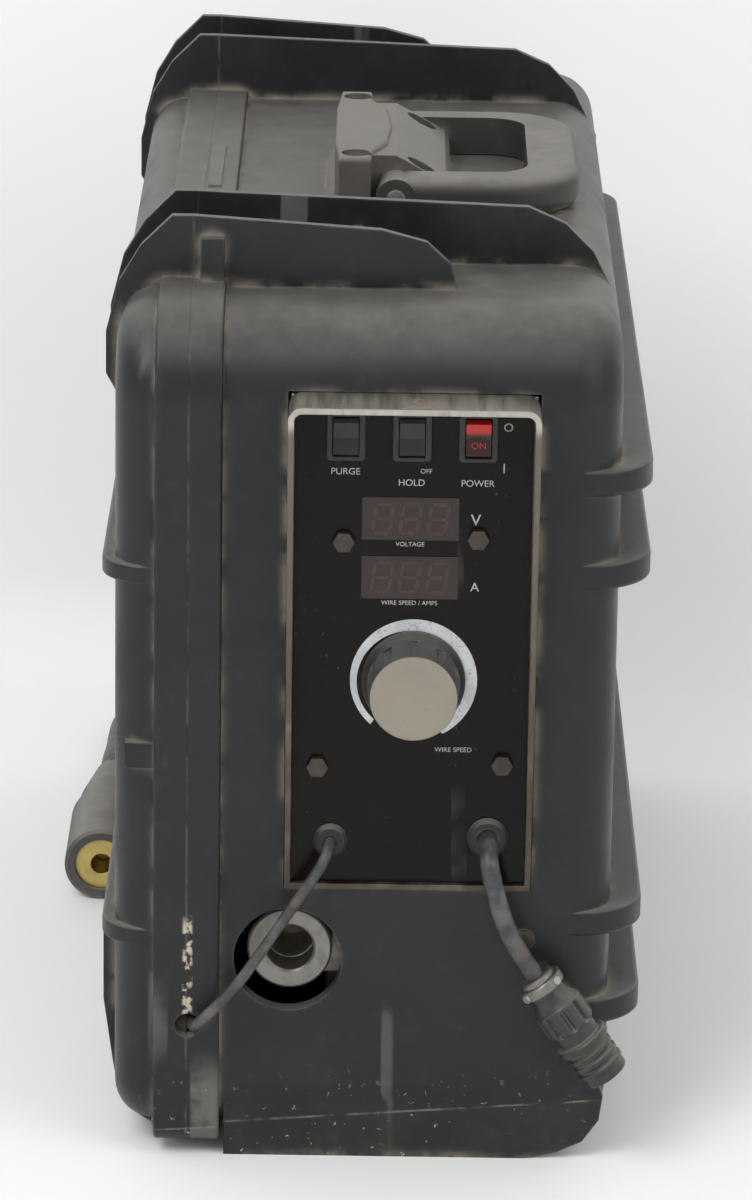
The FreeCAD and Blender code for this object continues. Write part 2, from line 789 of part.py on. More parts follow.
def displays():
    for name, low in DISPLAYS.items():
        node(name, block("display_left", "display_left + display_width", f"{LABEL} - 0.5",
                         f"{LABEL} + display_depth", low, f"{low} + display_height"))
    node("display_board", block("display_left - 6", "display_left + display_width + 6",
                                f"{LABEL} + display_depth", f"{LABEL} + display_depth + 1.6",
                                "display_low - 5", "display_high + display_height + 5"))


def speed_control():
    """Potentiometer behind the panel, and the fluted knob with its cap in front."""
    back = "panel_face + panel_sheet"
    can = rod("Y", back, ("knob_x", "knob_z"), "pot_radius", "pot_depth")
    neck = rod("Y", f"{LABEL}", ("knob_x", "knob_z"), "5 - running_fit",
               "panel_sheet + label_thick")
    bore = rod("Y", f"{LABEL} - 9", ("knob_x", "knob_z"), "knob_shaft_radius + running_fit", "19")
    node("potentiometer", cut(fuse(can, neck), bore))
    skirt_start = f"{LABEL} - fit_gap"
    length = f"({skirt_start}) - knob_front"
    body = turned("Y", [
        ("0", "0"), ("knob_cap_radius - 0.5", "0"), ("knob_radius - 1.2", "1.2"),
        ("knob_radius", f"{length} - 6"), ("knob_skirt_radius - 0.8", f"{length} - 4"),
        ("knob_skirt_radius", f"{length} - 2.5"), ("knob_skirt_radius", length),
        ("0", length),
    ], "knob_x", "knob_front", "knob_z")
    flutes = []
    count = 10
    for i in range(count):
        turn = math.tau * (i + 0.5) / count
        reach = "(knob_radius + 2.2)"
        flutes.append(rod("Y", "knob_front - 1",
                          (f"knob_x + {reach} * {math.cos(turn):.6f}",
                           f"knob_z + {reach} * {math.sin(turn):.6f}"),
                          "3.6", f"{length} - 5.5"))
    seat = rod("Y", "knob_front - 1", ("knob_x", "knob_z"), "knob_cap_radius - 3", "2.2")
    shaft = rod("Y", "knob_front + 8", ("knob_x", "knob_z"), "knob_shaft_radius",
                f"{back} + 5 - (knob_front + 8)")
    node("speed_knob", fuse(cut(body, seat, *flutes), shaft))
    cap = turned("Y", [
        ("0", "0.4"), ("knob_cap_radius - 7", "0"), ("knob_cap_radius - 3.8", "0.3"),
        ("knob_cap_radius - 3", "0.8"), ("knob_cap_radius - 3", "1.2"), ("0", "1.2"),
    ], "knob_x", "knob_front", "knob_z")
    node("knob_cap", cap)


def grommet(name, x, z, radius, bore):
    made = turned("Y", [
        (f"{bore} + 0.1", "0.8"), (f"{bore} + 0.9", "0"), (f"{radius} - 1.5", "0"),
        (radius, "1.5"), (radius, "grommet_stand"), (f"{radius} - 2", "grommet_stand"),
        (f"{radius} - 2", "grommet_stand + label_thick + panel_sheet"),
        (f"{radius} - 0.8", "grommet_stand + label_thick + panel_sheet"),
        (f"{radius} - 1.6", "grommet_stand + label_thick + panel_sheet + 2.4"),
        (f"{bore} + 0.1", "grommet_stand + label_thick + panel_sheet + 2.4"),
    ], x, f"{LABEL} - grommet_stand", z)
    node(name, made)


# ---------------------------------------------------------------- drive
def gear(teeth, width):
    """A spur gear about Z with involute flanks, thinned for backlash, a gap on +X."""
    module, pressure = S.gear_module, math.radians(20)
    pitch = module * teeth / 2
    base = pitch * math.cos(pressure)
    tip, root = pitch + 0.9 * module, pitch - 1.2 * module
    thin = 0.16 * module
    half_pitch = (math.pi * module / 2 - thin) / 2 / pitch + math.tan(pressure) - pressure

    def flank(radius):
        """Half of the tooth's angle at a radius."""
        if radius <= base:
            return half_pitch
        lean = math.acos(base / radius)
        return half_pitch - (math.tan(lean) - lean)

    steps = 4
    start = max(base, root)
    radii = [start + (tip - start) * i / steps for i in range(steps + 1)]
    edges = []
    for k in range(teeth):
        middle = math.tau * (k + 0.5) / teeth
        left = [at(r, middle - flank(r)) for r in radii]
        right = [at(r, middle + flank(r)) for r in reversed(radii)]
        foot_left, foot_right = at(root, middle - half_pitch), at(root, middle + half_pitch)
        after = at(root, middle + math.tau / teeth - half_pitch)
        line = [foot_left] + left + right + [foot_right, after]
        edges += [Part.LineSegment(a, b).toShape() for a, b in zip(line, line[1:])
                  if a.distanceToPoint(b) > 1e-6]
    return Part.Face(Part.Wire(edges)).extrude(V(0, 0, width))


def at(radius, angle):
    return V(radius * math.cos(angle), radius * math.sin(angle), 0)


def gear_on_x(teeth, phase, x, y, z):
    """A gear whose axis is along X; phase turns it about that axis, in degrees."""
    made = doc.addObject("Part::Feature", "Gear")
    made.Shape = gear(int(teeth), S.gear_width)
    turn = ALONG["X"].multiply(FreeCAD.Rotation(V(0, 0, 1), phase))
    made.Placement = FreeCAD.Placement(V(x, y, z), turn)
    return made


ROLLS = {"front": "roll_front_y", "rear": "roll_front_y + roll_spacing"}
ROLL_Z = "wire_z - roll_drop"
PINION_Y = "roll_front_y + roll_spacing / 2"


def pinion_z():
    """Height of the pinion under two roll gears that it meshes with."""
    centres = S.gear_module * (S.roll_teeth + S.pinion_teeth) / 2
    return S.wire_z - S.roll_drop - math.sqrt(centres**2 - (S.roll_spacing / 2) ** 2)


def phases():
    """Turns of the pinion and the two roll gears that bring them into mesh, in degrees.

    In a gear's own frame +X is a gap. ALONG["X"] sends that +X to -Z and the gear's +Y to +Y,
    so an angle of the gear turns from -Z towards +Y.
    """
    rise = S.wire_z - S.roll_drop - pinion_z()
    half = S.roll_spacing / 2
    turns = {}
    for side, dy in (("front", -half), ("rear", half)):
        towards_roll = math.degrees(math.atan2(dy, -rise))
        towards_pinion = math.degrees(math.atan2(-dy, rise))
        pinion_tooth = 360 / S.pinion_teeth
        roll_tooth = 360 / S.roll_teeth
        offset = (towards_roll / pinion_tooth) % 1
        turns[side] = towards_pinion + roll_tooth * (offset + 0.5)
    return 0.0, turns["front"], turns["rear"]


def drive_rolls():
    gear_x = S.housing_face_x - 1.3 - S.gear_width
    pinion_turn, *roll_turns = phases()
    y_values = (S.roll_front_y, S.roll_front_y + S.roll_spacing)
    for (side, y), turn, y_value in zip(ROLLS.items(), roll_turns, y_values):
        toothed = gear_on_x(S.roll_teeth, turn, gear_x, y_value, S.wire_z - S.roll_drop)
        half = "roll_width / 2"
        middle = "wire_x - (housing_face_x - 1.3 - gear_width - roll_width)"
        tread = turned("X", [
            ("axle_radius + running_fit", "0"), ("roll_radius - 1", "0"), ("roll_radius", "1"),
            ("roll_radius", f"{middle} - 1"), ("roll_radius - roll_groove", middle),
            ("roll_radius", f"{middle} + 1"), ("roll_radius", "roll_width - 0.6"),
            ("roll_radius - 0.6", "roll_width"), ("axle_radius + running_fit", "roll_width"),
        ], "housing_face_x - 1.3 - gear_width - roll_width", y, ROLL_Z)
        bore = rod("X", "-60", (y, ROLL_Z), "axle_radius + running_fit", "60")
        node(f"drive_roll_{side}", cut(fuse(toothed, tread), bore))
    toothed = gear_on_x(S.pinion_teeth, pinion_turn, gear_x,
                        S.roll_front_y + S.roll_spacing / 2, pinion_z())
    shaft = doc.addObject("Part::Feature", "Shaft")
    shaft.Shape = Part.makeCylinder(
        S.pinion_shaft_radius, S.plate_x + S.plate_thick + 8 - gear_x - 1, V(), V(1, 0, 0)
    )
    shaft.Placement = FreeCAD.Placement(
        V(gear_x + 1, S.roll_front_y + S.roll_spacing / 2, pinion_z()), FreeCAD.Rotation()
    )
    node("drive_gear", fuse(toothed, shaft))
    end = "housing_face_x - 1.3 - gear_width - roll_width - 0.6"
    group("roll_axles", [
        turned("X", [
            ("0", "0"), ("8", "0"), ("10", "2"), ("10", "6.4"), ("axle_radius", "6.4"),
            ("axle_radius", f"housing_face_x - ({end}) + 6.4"),
            ("0", f"housing_face_x - ({end}) + 6.4"),
        ], f"{end} - 6.4", y, ROLL_Z)
        for y in ROLLS.values()
    ])


def drive_housing():
    """The cast plate that carries the rolls, open towards the inner plate."""
    right = "plate_x"
    front, rear = "housing_front", "housing_front + housing_length"
    low, high = "housing_bottom", "housing_bottom + housing_height"
    outline = [
        (f"{front} + 6", low), (f"{rear} - 30", low), (rear, f"{low} + 40"), (rear, high),
        (f"{front} + 30", high), (front, f"{high} - 34"), (front, f"{low} + 14"),
    ]
    casting = padded("YZ", outline, f"{right} - housing_face_x", "housing_face_x")
    rounded(casting, "5", runs_along("X"))
    rounded(casting, "2", lies_at("X", "Min"))
    pocket = padded("YZ", [
        (f"{front} + 12", f"{low} + 7"), (f"{rear} - 34", f"{low} + 7"),
        (f"{rear} - 7", f"{low} + 44"), (f"{rear} - 7", f"{high} - 7"),
        (f"{front} + 34", f"{high} - 7"), (f"{front} + 7", f"{high} - 38"),
        (f"{front} + 7", f"{low} + 18"),
    ], f"{right} - housing_face_x", "housing_face_x + housing_skin")
    lug = block("arm_inner_x - arm_thick", "housing_face_x + 1", "tension_y - 6", "tension_y + 6",
                "tension_z - 9", "tension_z + 4")
    slot = block("arm_inner_x - arm_thick - 1", "wire_x - 4.5", "tension_y - 3.2",
                 "tension_y + 3.2", "tension_z - 12", "tension_z + 9")
    pin_bore = rod("Y", "tension_y - 9", (TENSION_X, "tension_z"), "2 + running_fit", "18")
    shaft_bore = doc.addObject("Part::Feature", "ShaftBore")
    shaft_bore.Shape = Part.makeCylinder(
        S.pinion_shaft_radius + S.running_fit, 60, V(-60, 0, 0), V(1, 0, 0)
    )
    shaft_bore.Placement = FreeCAD.Placement(
        V(0, S.roll_front_y + S.roll_spacing / 2, pinion_z()), FreeCAD.Rotation()
    )
    node("drive_housing", cut(fuse(cut(casting, pocket), lug), slot, pin_bore, shaft_bore))


TENSION_X = "arm_inner_x - arm_thick / 2"


def pressure_arm():
    """The arm over the rolls, with its fork, pivot and the two idle rolls."""
    idle_z = "wire_z + 0.6 + idle_radius"
    front, pivot = "tension_y - 9", "arm_pivot_y + 12"
    outline = [
        (front, "spring_bottom - 12"), ("roll_front_y - 14", f"{idle_z} - 11"),
        (f"{ROLLS['rear']} + 12", f"{idle_z} - 11"), (pivot, "arm_pivot_z - 8"),
        (pivot, "arm_pivot_z + 8"), ("arm_pivot_y - 4", "arm_pivot_z + 13"),
        ("roll_front_y - 4", "spring_bottom + 1"), ("tension_y + 12", "spring_bottom"),
        (front, "spring_bottom"),
    ]
    plate = padded("YZ", outline, "arm_thick", "arm_inner_x - arm_thick")
    rounded(plate, "2.5", runs_along("X"))
    rounded(plate, "1.5", lies_at("X", "Min"))
    slot = block("arm_inner_x - arm_thick - 1", f"{TENSION_X} + tension_slot / 2",
                 "tension_y - tension_slot / 2", "tension_y + tension_slot / 2",
                 "spring_bottom - 32", "spring_bottom + 9")
    bores = [rod("X", "-70", ("arm_pivot_y", "arm_pivot_z"), "axle_radius + running_fit", "40")]
    axles = []
    for side, y in ROLLS.items():
        axles.append(fuse(
            rod("X", "arm_inner_x", (y, idle_z), "idle_axle_radius", "idle_width + 2"),
            rod("X", "arm_inner_x + idle_width + 2", (y, idle_z), "idle_axle_radius + 2", "1.5"),
        ))
        tyre = turned("X", [
            ("idle_axle_radius + running_fit", "0"), ("idle_radius - 1.2", "0"),
            ("idle_radius", "1.2"), ("idle_radius", "idle_width - 1.2"),
            ("idle_radius - 1.2", "idle_width"), ("idle_axle_radius + running_fit", "idle_width"),
        ], "arm_inner_x + 1", y, idle_z)
        node(f"idle_roll_{side}", tyre)
    node("pressure_arm", cut(plate, slot, *bores))
    group("idle_axles", axles)
    outer = "arm_inner_x - arm_thick"
    pivot_pin = fuse(
        rod("X", f"{outer} - 0.4", ("arm_pivot_y", "arm_pivot_z"), "axle_radius",
            f"housing_face_x - ({outer}) + 0.4"),
        rod("X", f"{outer} - 2.4", ("arm_pivot_y", "arm_pivot_z"), "axle_radius + 3", "2"),
    )
    tension_pin = rod("Y", "tension_y - 6", (TENSION_X, "tension_z"), "2", "12")
    group("arm_pins", [pivot_pin, tension_pin])


def tension_pieces():
    eye = rod("Y", "tension_y - 2.7", (TENSION_X, "tension_z"), "5", "5.4")
    stem = rod("Z", "tension_z + 2.5", (TENSION_X, "tension_y"), "tension_rod_radius",
               "spring_top + tension_knob_height - 6 - (tension_z + 2.5)")
    bore = rod("Y", "tension_y - 9", (TENSION_X, "tension_z"), "2 + running_fit", "18")
    node("tension_rod", cut(fuse(eye, stem), bore))
    knob = turned("Z", [
        ("0", "0"), ("7", "0"), ("7", "3"), ("tension_knob_radius", "6"),
        ("tension_knob_radius", "tension_knob_height - 3"),
        ("tension_knob_radius - 3", "tension_knob_height"), ("0", "tension_knob_height"),
    ], TENSION_X, "tension_y", "spring_top")
    grips = []
    count = 8
    for i in range(count):
        turn = math.tau * i / count
        grips.append(rod("Z", "spring_top + 5",
                         (f"{TENSION_X} + 12.4 * {math.cos(turn):.6f}",
                          f"tension_y + 12.4 * {math.sin(turn):.6f}"), "2.6", "30"))
    bore = rod("Z", "spring_top - 1", (TENSION_X, "tension_y"),
               "tension_rod_radius + running_fit", "tension_knob_height - 4.6")
    node("tension_knob", cut(knob, bore, *grips))
    wire = 0.9
    coil_radius, low, high = 5.2, S.spring_bottom + wire + 0.1, S.spring_top - wire - 0.1
    helix = Part.makeHelix((high - low) / 5, high - low, coil_radius)
    section = Part.Wire(Part.makeCircle(wire, V(coil_radius, 0, 0), V(0, 1, 0)))
    coil = Part.Wire(helix).makePipeShell([section], True, True)
    x = S.arm_inner_x - S.arm_thick / 2
    node("pressure_spring", solid("spring", coil, x, S.tension_y, low))


def guides():
    """The three brass wire guides."""
    inlet = turned("Y", [
        ("1.5", "0"), ("5", "0"), ("5", "16"), ("8", "24"), ("5", "24"), ("1.5", "14"),
    ], "wire_x", "arm_pivot_y - 10", "wire_z")
    foot = block("wire_x + 4", "housing_face_x", "arm_pivot_y - 8", "arm_pivot_y + 4",
                 "wire_z - 5", "wire_z + 5")
    inlet = fuse(inlet, foot)
    tube = rod("Y", f"{PINION_Y} - 7", ("wire_x", "wire_z"), "3.5", "14")
    post = block("wire_x + 2", "housing_face_x", f"{PINION_Y} - 4", f"{PINION_Y} + 4",
                 "wire_z - 3.5", "wire_z + 3.5")
    bore = rod("Y", f"{PINION_Y} - 9", ("wire_x", "wire_z"), "1.2", "18")
    middle = cut(fuse(tube, post), bore)
    outlet = turned("Y", [
        ("1.2", "0"), ("3", "0"), ("3", "14"), ("2", "17"), ("1.2", "17"),
    ], "wire_x", "gun_block_front + gun_block_length", "wire_z")
    group("wire_guides", [inlet, middle, outlet])


def gun_pieces():
    low = "wire_z - 16.5"
    slab = padded("XZ", [
        ("wire_x", low), ("-8", low), ("-8", f"{low} - 8"), ("plate_x", f"{low} - 8"),
        ("plate_x", "wire_z + gun_block_radius"), ("wire_x", "wire_z + gun_block_radius"),
    ], "gun_block_length", "gun_block_front")
    nose = rod("Y", "gun_block_front", ("wire_x", "wire_z"), "gun_block_radius",
               "gun_block_length")
    flat = block("wire_x - 30", "wire_x + 1", "gun_block_front - 1",
                 "gun_block_front + gun_block_length + 1", "wire_z - 40", low)
    bore = rod("Y", "gun_block_front - 1", ("wire_x", "wire_z"), "gun_bore_radius",
               "gun_bore_depth + 1")
    wire_way = rod("Y", "gun_block_front - 1", ("wire_x", "wire_z"), "1.5",
                   "gun_block_length + 2")
    middle = "gun_block_front + 18"
    tapped = rod("X", "wire_x - 30", (middle, "wire_z"), "clamp_screw_radius + running_fit", "28")
    node("gun_block", cut(fuse(slab, nose), flat, bore, wire_way, tapped))
    start = "wire_x - gun_block_radius - 22"
    screw = fuse(
        rod("X", f"{start} + 10", (middle, "wire_z"), "clamp_screw_radius",
            f"wire_x - gun_bore_radius - 0.5 - ({start} + 10)"),
        turned("X", [("0", "0"), ("9", "0"), ("11", "2"), ("11", "14"), ("7", "17"), ("7", "20"),
                     ("0", "20")], start, middle, "wire_z"),
    )
    grips = []
    count = 6
    for i in range(count):
        turn = math.tau * i / count
        grips.append(rod("X", f"{start} - 1",
                         (f"{middle} + 13.6 * {math.cos(turn):.6f}",
                          f"wire_z + 13.6 * {math.sin(turn):.6f}"), "4", "16"))
    node("gun_clamp_knob", cut(screw, *grips))


def power_pieces():
    """Gearbox, motor and the boards on the right side of the inner plate."""
    back = "plate_x + plate_thick"
    z = f"{pinion_z():.6f}"
    box = padded("YZ", [
        (f"{PINION_Y} - 41", f"{z} - 33"), (f"{PINION_Y} + 41", f"{z} - 33"),
        (f"{PINION_Y} + 41", f"{z} + 42"), (f"{PINION_Y} - 41", f"{z} + 42"),
    ], "gearbox_thick", back)
    rounded(box, "12", runs_along("X"))
    rounded(box, "3", lies_at("X", "Max"))
    bore = rod("X", f"{back} - 1", (PINION_Y, z), "pinion_shaft_radius + running_fit", "12")
    node("gearbox", cut(box, bore))
    start = f"{back} + gearbox_thick"
    node("drive_motor", turned("X", [
        ("0", "0"), ("motor_radius", "0"), ("motor_radius", "motor_length - 8"),
        ("motor_radius - 3", "motor_length - 8"), ("motor_radius - 3", "motor_length - 1.5"),
        ("motor_radius - 5", "motor_length"), ("0", "motor_length"),
    ], start, PINION_Y, z))
    board = block(f"{back} + 8", f"{back} + 9.6", "-60", "150", "190", "340")
    posts = [
        rod("X", back, (y, level), "3", "8") for y in ("-52", "142") for level in ("198", "332")
    ]
    fins = [
        block(f"{back} + 9.6", f"{back} + 34", f"-40 + {12 * i}", f"-38 + {12 * i}", "205", "300")
        for i in range(8)
    ]
    sink = fuse(block(f"{back} + 9.6", f"{back} + 13.6", "-42", "50", "205", "300"), *fins)
    group("power_board", [board, sink, *posts])


def inner_plate():
    low, high = "body_bottom + wall", f"{BODY_TOP} - wall"
    rear = f"{BODY_REAR} - recess_depth - wall - 1"
    sheet_metal = padded("YZ", [
        ("-205", low), (f"{rear} - 20", low), (rear, f"{low} + 22"), (rear, f"{high} - 22"),
        (f"{rear} - 20", high), ("panel_back + 14", high), ("panel_back + 14", "116"),
        ("body_front + wall + 2", "116"), ("body_front + wall + 2", f"{low} + 40"),
    ], "plate_thick", "plate_x")
    flanges = [
        block("plate_x", "plate_x + 14", "panel_back + 20", f"{rear} - 24", f"{high} - plate_thick",
              high),
        block("plate_x", "plate_x + 14", "-200", f"{rear} - 24", low, f"{low} + plate_thick"),
    ]
    shaft_hole = rod("X", "plate_x - 9", (PINION_Y, f"{pinion_z():.6f}"),
                     "pinion_shaft_radius + 3", "20")
    node("inner_plate", cut(fuse(sheet_metal, *flanges), shaft_hole))
    screws = [
        turned("Z", [("0", "0"), ("4", "0"), ("3.2", "2.6"), ("0", "2.6")], "plate_x + 8", y,
               f"{low} + plate_thick")
        for y in ("-180", "20", "190")
    ]
    screws.append(turned("Y", [("0", "0"), ("3", "0"), ("4.5", "1.6"), ("4.5", "2.6"),
                               ("0", "2.6")], "64", "body_front - 2.6", "100.5"))
    group("case_screws", screws)


# ---------------------------------------------------------------- spool hub
def hub_pieces():
    spot = ("hub_y", "hub_z")
    end = "plate_x - 12 - hub_length"
    spindle = fuse(
        rod("X", "plate_x - 6", spot, "30", "6"),
        rod("X", end, spot, "spindle_radius", f"plate_x - 6 - ({end})"),
        rod("X", f"{end} - 8", spot, "6", "8"),
    )
    node("hub_spindle", spindle)
    hub = turned("X", [
        ("spindle_radius + running_fit", "0.6"), ("hub_radius - 3", "0.6"), ("hub_radius", "4"),
        ("hub_radius", "hub_length"), ("hub_flange_radius", "hub_length"),
        ("hub_flange_radius", "hub_length + 4"),
        ("spindle_radius + running_fit", "hub_length + 4"),
    ], end, "hub_y", "hub_z")
    drive_pin = rod("X", "plate_x - 12 - 16", ("hub_y", "hub_z + hub_flange_radius - 8"), "4",
                    "17")
    node("spool_hub", fuse(hub, drive_pin))
    knob = turned("X", [
        ("6 + running_fit", "0"), ("18", "0"), ("20", "2"), ("20", "5.4"), ("18", "7.4"),
        ("6 + running_fit", "7.4"),
    ], f"{end} - 8", "hub_y", "hub_z")
    grips = []
    count = 5
    for i in range(count):
        turn = math.tau * i / count
        grips.append(rod("X", f"{end} - 9",
                         (f"hub_y + 24 * {math.cos(turn):.6f}",
                          f"hub_z + 24 * {math.sin(turn):.6f}"), "8", "12"))
    node("hub_knob", cut(knob, *grips))


# ---------------------------------------------------------------- gas and weld power
def rear_pieces():
    floor = f"{BODY_REAR} - recess_depth"
    node("gas_inlet", turned("Y", [
        ("2.5", "0"), ("6", "0"), ("6", "10"), ("gas_radius", "10"), ("gas_radius", "wall + 10"),
        ("gas_radius + 4", "wall + 10"), ("gas_radius + 4", "wall + 15"),
        ("gas_radius", "wall + 15"), ("gas_radius", "33"),
        ("gas_radius - 1.2", "34"), ("3", "34"), ("2.5", "30"),
    ], "gas_x", f"{floor} - wall - 10", "gas_z"))
    block_body = block("gas_x - 15", "gas_x + 15", f"{floor} - wall - 42", f"{floor} - wall - 10",
                       "gas_z - 13", "gas_z + 13")
    coil = rod("Z", "gas_z + 13", ("gas_x", f"{floor} - wall - 26"), "12", "30")
    outlet = rod("Y", f"{floor} - wall - 54", ("gas_x", "gas_z"), "4", "12")
    node("gas_valve", fuse(block_body, coil, outlet))
    node("weld_gland", turned("Y", [
        ("weld_dia / 2 + 0.1", "0"), ("weld_dia / 2 + 4", "0"), ("weld_dia / 2 + 4", "wall + 5"),
        ("weld_dia / 2 + 9", "wall + 5"), ("weld_dia / 2 + 9", "wall + 10"),
        ("weld_dia / 2 + 3", "wall + 12"), ("weld_dia / 2 + 1.5", "wall + 27"),
        ("weld_dia / 2 + 0.1", "wall + 27"),
    ], "gland_x", f"{floor} - wall - 5", "gland_z"))
    strap_z = "24"
    end = f"{floor} - wall - 24"
    node("current_strap", padded("YZ", [
        ("gun_block_front + 4", f"{strap_z} - 8"), (end, f"{strap_z} - 8"),
        (end, "gland_z + 8"), (f"{end} - 16", "gland_z + 8"), (f"{end} - 16", f"{strap_z} + 8"),
        ("gun_block_front + 24", f"{strap_z} + 8"), ("gun_block_front + 24", "wire_z - 24.5"),
        ("gun_block_front + 4", "wire_z - 24.5"),
    ], "3", "plate_x - 3"))


# ---------------------------------------------------------------- cords
def tube(name, points, diameter):
    """A round tube along straight runs joined by tangent arcs."""
    spots = [V(*p) for p in points]
    edges, start, radii = [], spots[0], []
    for before, here, after in zip(spots, spots[1:], spots[2:]):
        back, ahead = before - here, after - here
        turn = math.pi - back.getAngle(ahead)
        radius = 0.45 * min(back.Length, ahead.Length) / math.tan(turn / 2)
        reach = radius * math.tan(turn / 2)
        back.normalize()
        ahead.normalize()
        first, last = here + back * reach, here + ahead * reach
        inward = back + ahead
        inward.normalize()
        middle = here + inward * (radius / math.cos(turn / 2) - radius)
        edges.append(Part.LineSegment(start, first).toShape())
        edges.append(Part.Arc(first, middle, last).toShape())
        start = last
        radii.append(radius)
    edges.append(Part.LineSegment(start, spots[-1]).toShape())
    path = Part.Wire(edges)
    way = spots[1] - spots[0]
    way.normalize()
    section = Part.Wire(Part.makeCircle(diameter / 2, spots[0], way))
    made = path.makePipeShell([section], True, False)
    length = path.Length
    share = made.Volume / (math.pi * diameter**2 / 4 * length)
    print(f"{name}: length {length:.0f}, volume share {share:.4f}, radii",
          ", ".join(f"{r:.0f}" for r in radii))
    return node(name, solid(name, made))


def plug_pieces():
    """Clamp, cone body and coupling ring of the plug, along its own hanging axis."""
    down = FreeCAD.Rotation(V(0, 1, 0), 90 + S.plug_angle)
    clamp = [("0", "0"), ("9.5", "0"), ("10.5", "1"), ("10.5", "8"), ("9.5", "9"), ("0", "9")]
    cone = [("0", "9"), ("8.5", "9"), ("9.5", "14"), ("11", "25"), ("11", "28"), ("0", "28")]
    ring = [
        ("0", "28"), ("plug_radius - 0.8", "28"), ("plug_radius - 0.8", "40"),
        ("plug_radius", "41"), ("plug_radius", "44"), ("9.5", "45"), ("9.5", "55"),
        ("8.5", "55"), ("8.5", "50"), ("0", "50"),
    ]
    for name, outline in (("plug_clamp", clamp), ("plug_body", cone), ("plug_ring", ring)):
        made = turned("Z", outline)
        made.Placement = FreeCAD.Placement(V(), down)
        put(made, "plug_x", "plug_y", "plug_z")
        node(name, made)


def connector_pieces():
    """The rubber boot and brass socket that lie on the floor beside the door."""
    long = "connector_length"
    boot = turned("Y", [
        ("socket_radius", "0"), ("connector_radius - 1.5", "0"), ("connector_radius", "1.5"),
        ("connector_radius", "64"), ("connector_radius - 3", "68"),
        ("connector_radius - 3", f"{long} - 40"), ("weld_dia / 2 + 2", long),
        ("0", long), ("0", "30"), ("socket_radius", "30"),
    ], "connector_x", "connector_y", "connector_radius")
    node("connector_boot", boot)
    node("connector_contact", turned("Y", [
        ("5", "2"), ("socket_radius", "2"), ("socket_radius", "30"), ("0", "30"), ("0", "22"),
        ("5", "22"),
    ], "connector_x", "connector_y", "connector_radius"))


def cords():
    back = S.panel_face + 6
    tube("sense_lead", [
        (S.sense_x, back, S.sense_z), (S.sense_x, -249, S.sense_z), (-19.8, -254.3, 139.5),
        (-25, -254.5, 130.5), (-37.8, -253.5, 112.6), (-47.4, -253, 97.5), (-57.8, -253, 81.5),
        (-68, -253.5, 69.5), (-74.8, -250.8, 62), (-75.7, -243, 61), (-75.7, -228, 61),
    ], S.sense_dia)
    way = V(math.cos(math.radians(S.plug_angle)), 0, -math.sin(math.radians(S.plug_angle)))
    end = V(S.plug_x, S.plug_y, S.plug_z)
    tube("trigger_cable", [
        (S.trigger_x, back, S.trigger_z), (S.trigger_x, -251, S.trigger_z), (49, -259.5, 139),
        (51.5, -259.5, 127), (57, -257, 109.5), tuple(end - way * 8), tuple(end),
    ], S.trigger_dia)
    floor = S.overall_length / 2 - S.rim_stand - S.recess_depth
    boot_end = S.connector_y + S.connector_length
    tube("weld_cable", [
        (S.connector_x, boot_end, S.connector_radius),
        (S.connector_x, boot_end + 26, S.connector_radius),
        (S.connector_x, boot_end + 64, 8.5), (-128.5, 320.8, 7.2), (-109.1, 354.4, 8),
        (-69.5, 367.3, 18), (-29.9, 354.4, 38), (-5.5, 320.8, 60), (S.gland_x, 284, S.gland_z),
        (S.gland_x, floor - S.wall - 4, S.gland_z),
    ], S.weld_dia)


# ---------------------------------------------------------------- build
def main():
    case_pieces()
    handle_pieces()
    control_panel()
    panel_screws()
    switches()
    displays()
    speed_control()
    grommet("sense_grommet", "sense_x", "sense_z", "sense_grommet_radius", "sense_dia / 2")
    grommet("trigger_grommet", "trigger_x", "trigger_z", "trigger_grommet_radius",
            "trigger_dia / 2")
    drive_rolls()
    drive_housing()
    pressure_arm()
    tension_pieces()
    guides()
    gun_pieces()
    power_pieces()
    inner_plate()
    hub_pieces()
    rear_pieces()
    plug_pieces()
    connector_pieces()
    cords()
    doc.recompute()
    failed = [t for t in doc.Objects if "Invalid" in t.State or "Error" in t.State]
    if failed:
        raise RuntimeError("failed: " + ", ".join(f"{t.Name} ({t.Label})" for t in failed))
    os.makedirs("parts", exist_ok=True)
    for name, thing in parts.items():
        shape = thing.Shape
        if shape.isNull() or not shape.isValid() or not shape.Solids:
            raise RuntimeError(f"{name} has no valid solid")
        shape.exportStep(f"parts/{name}.step")
    print(len(parts), "nodes")


main()
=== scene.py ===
"""Looks of the wire feeder: camera, cords, procedural materials, panel marks and studio."""

import json
import math

import bmesh
import bpy
from mathutils import Matrix, Vector


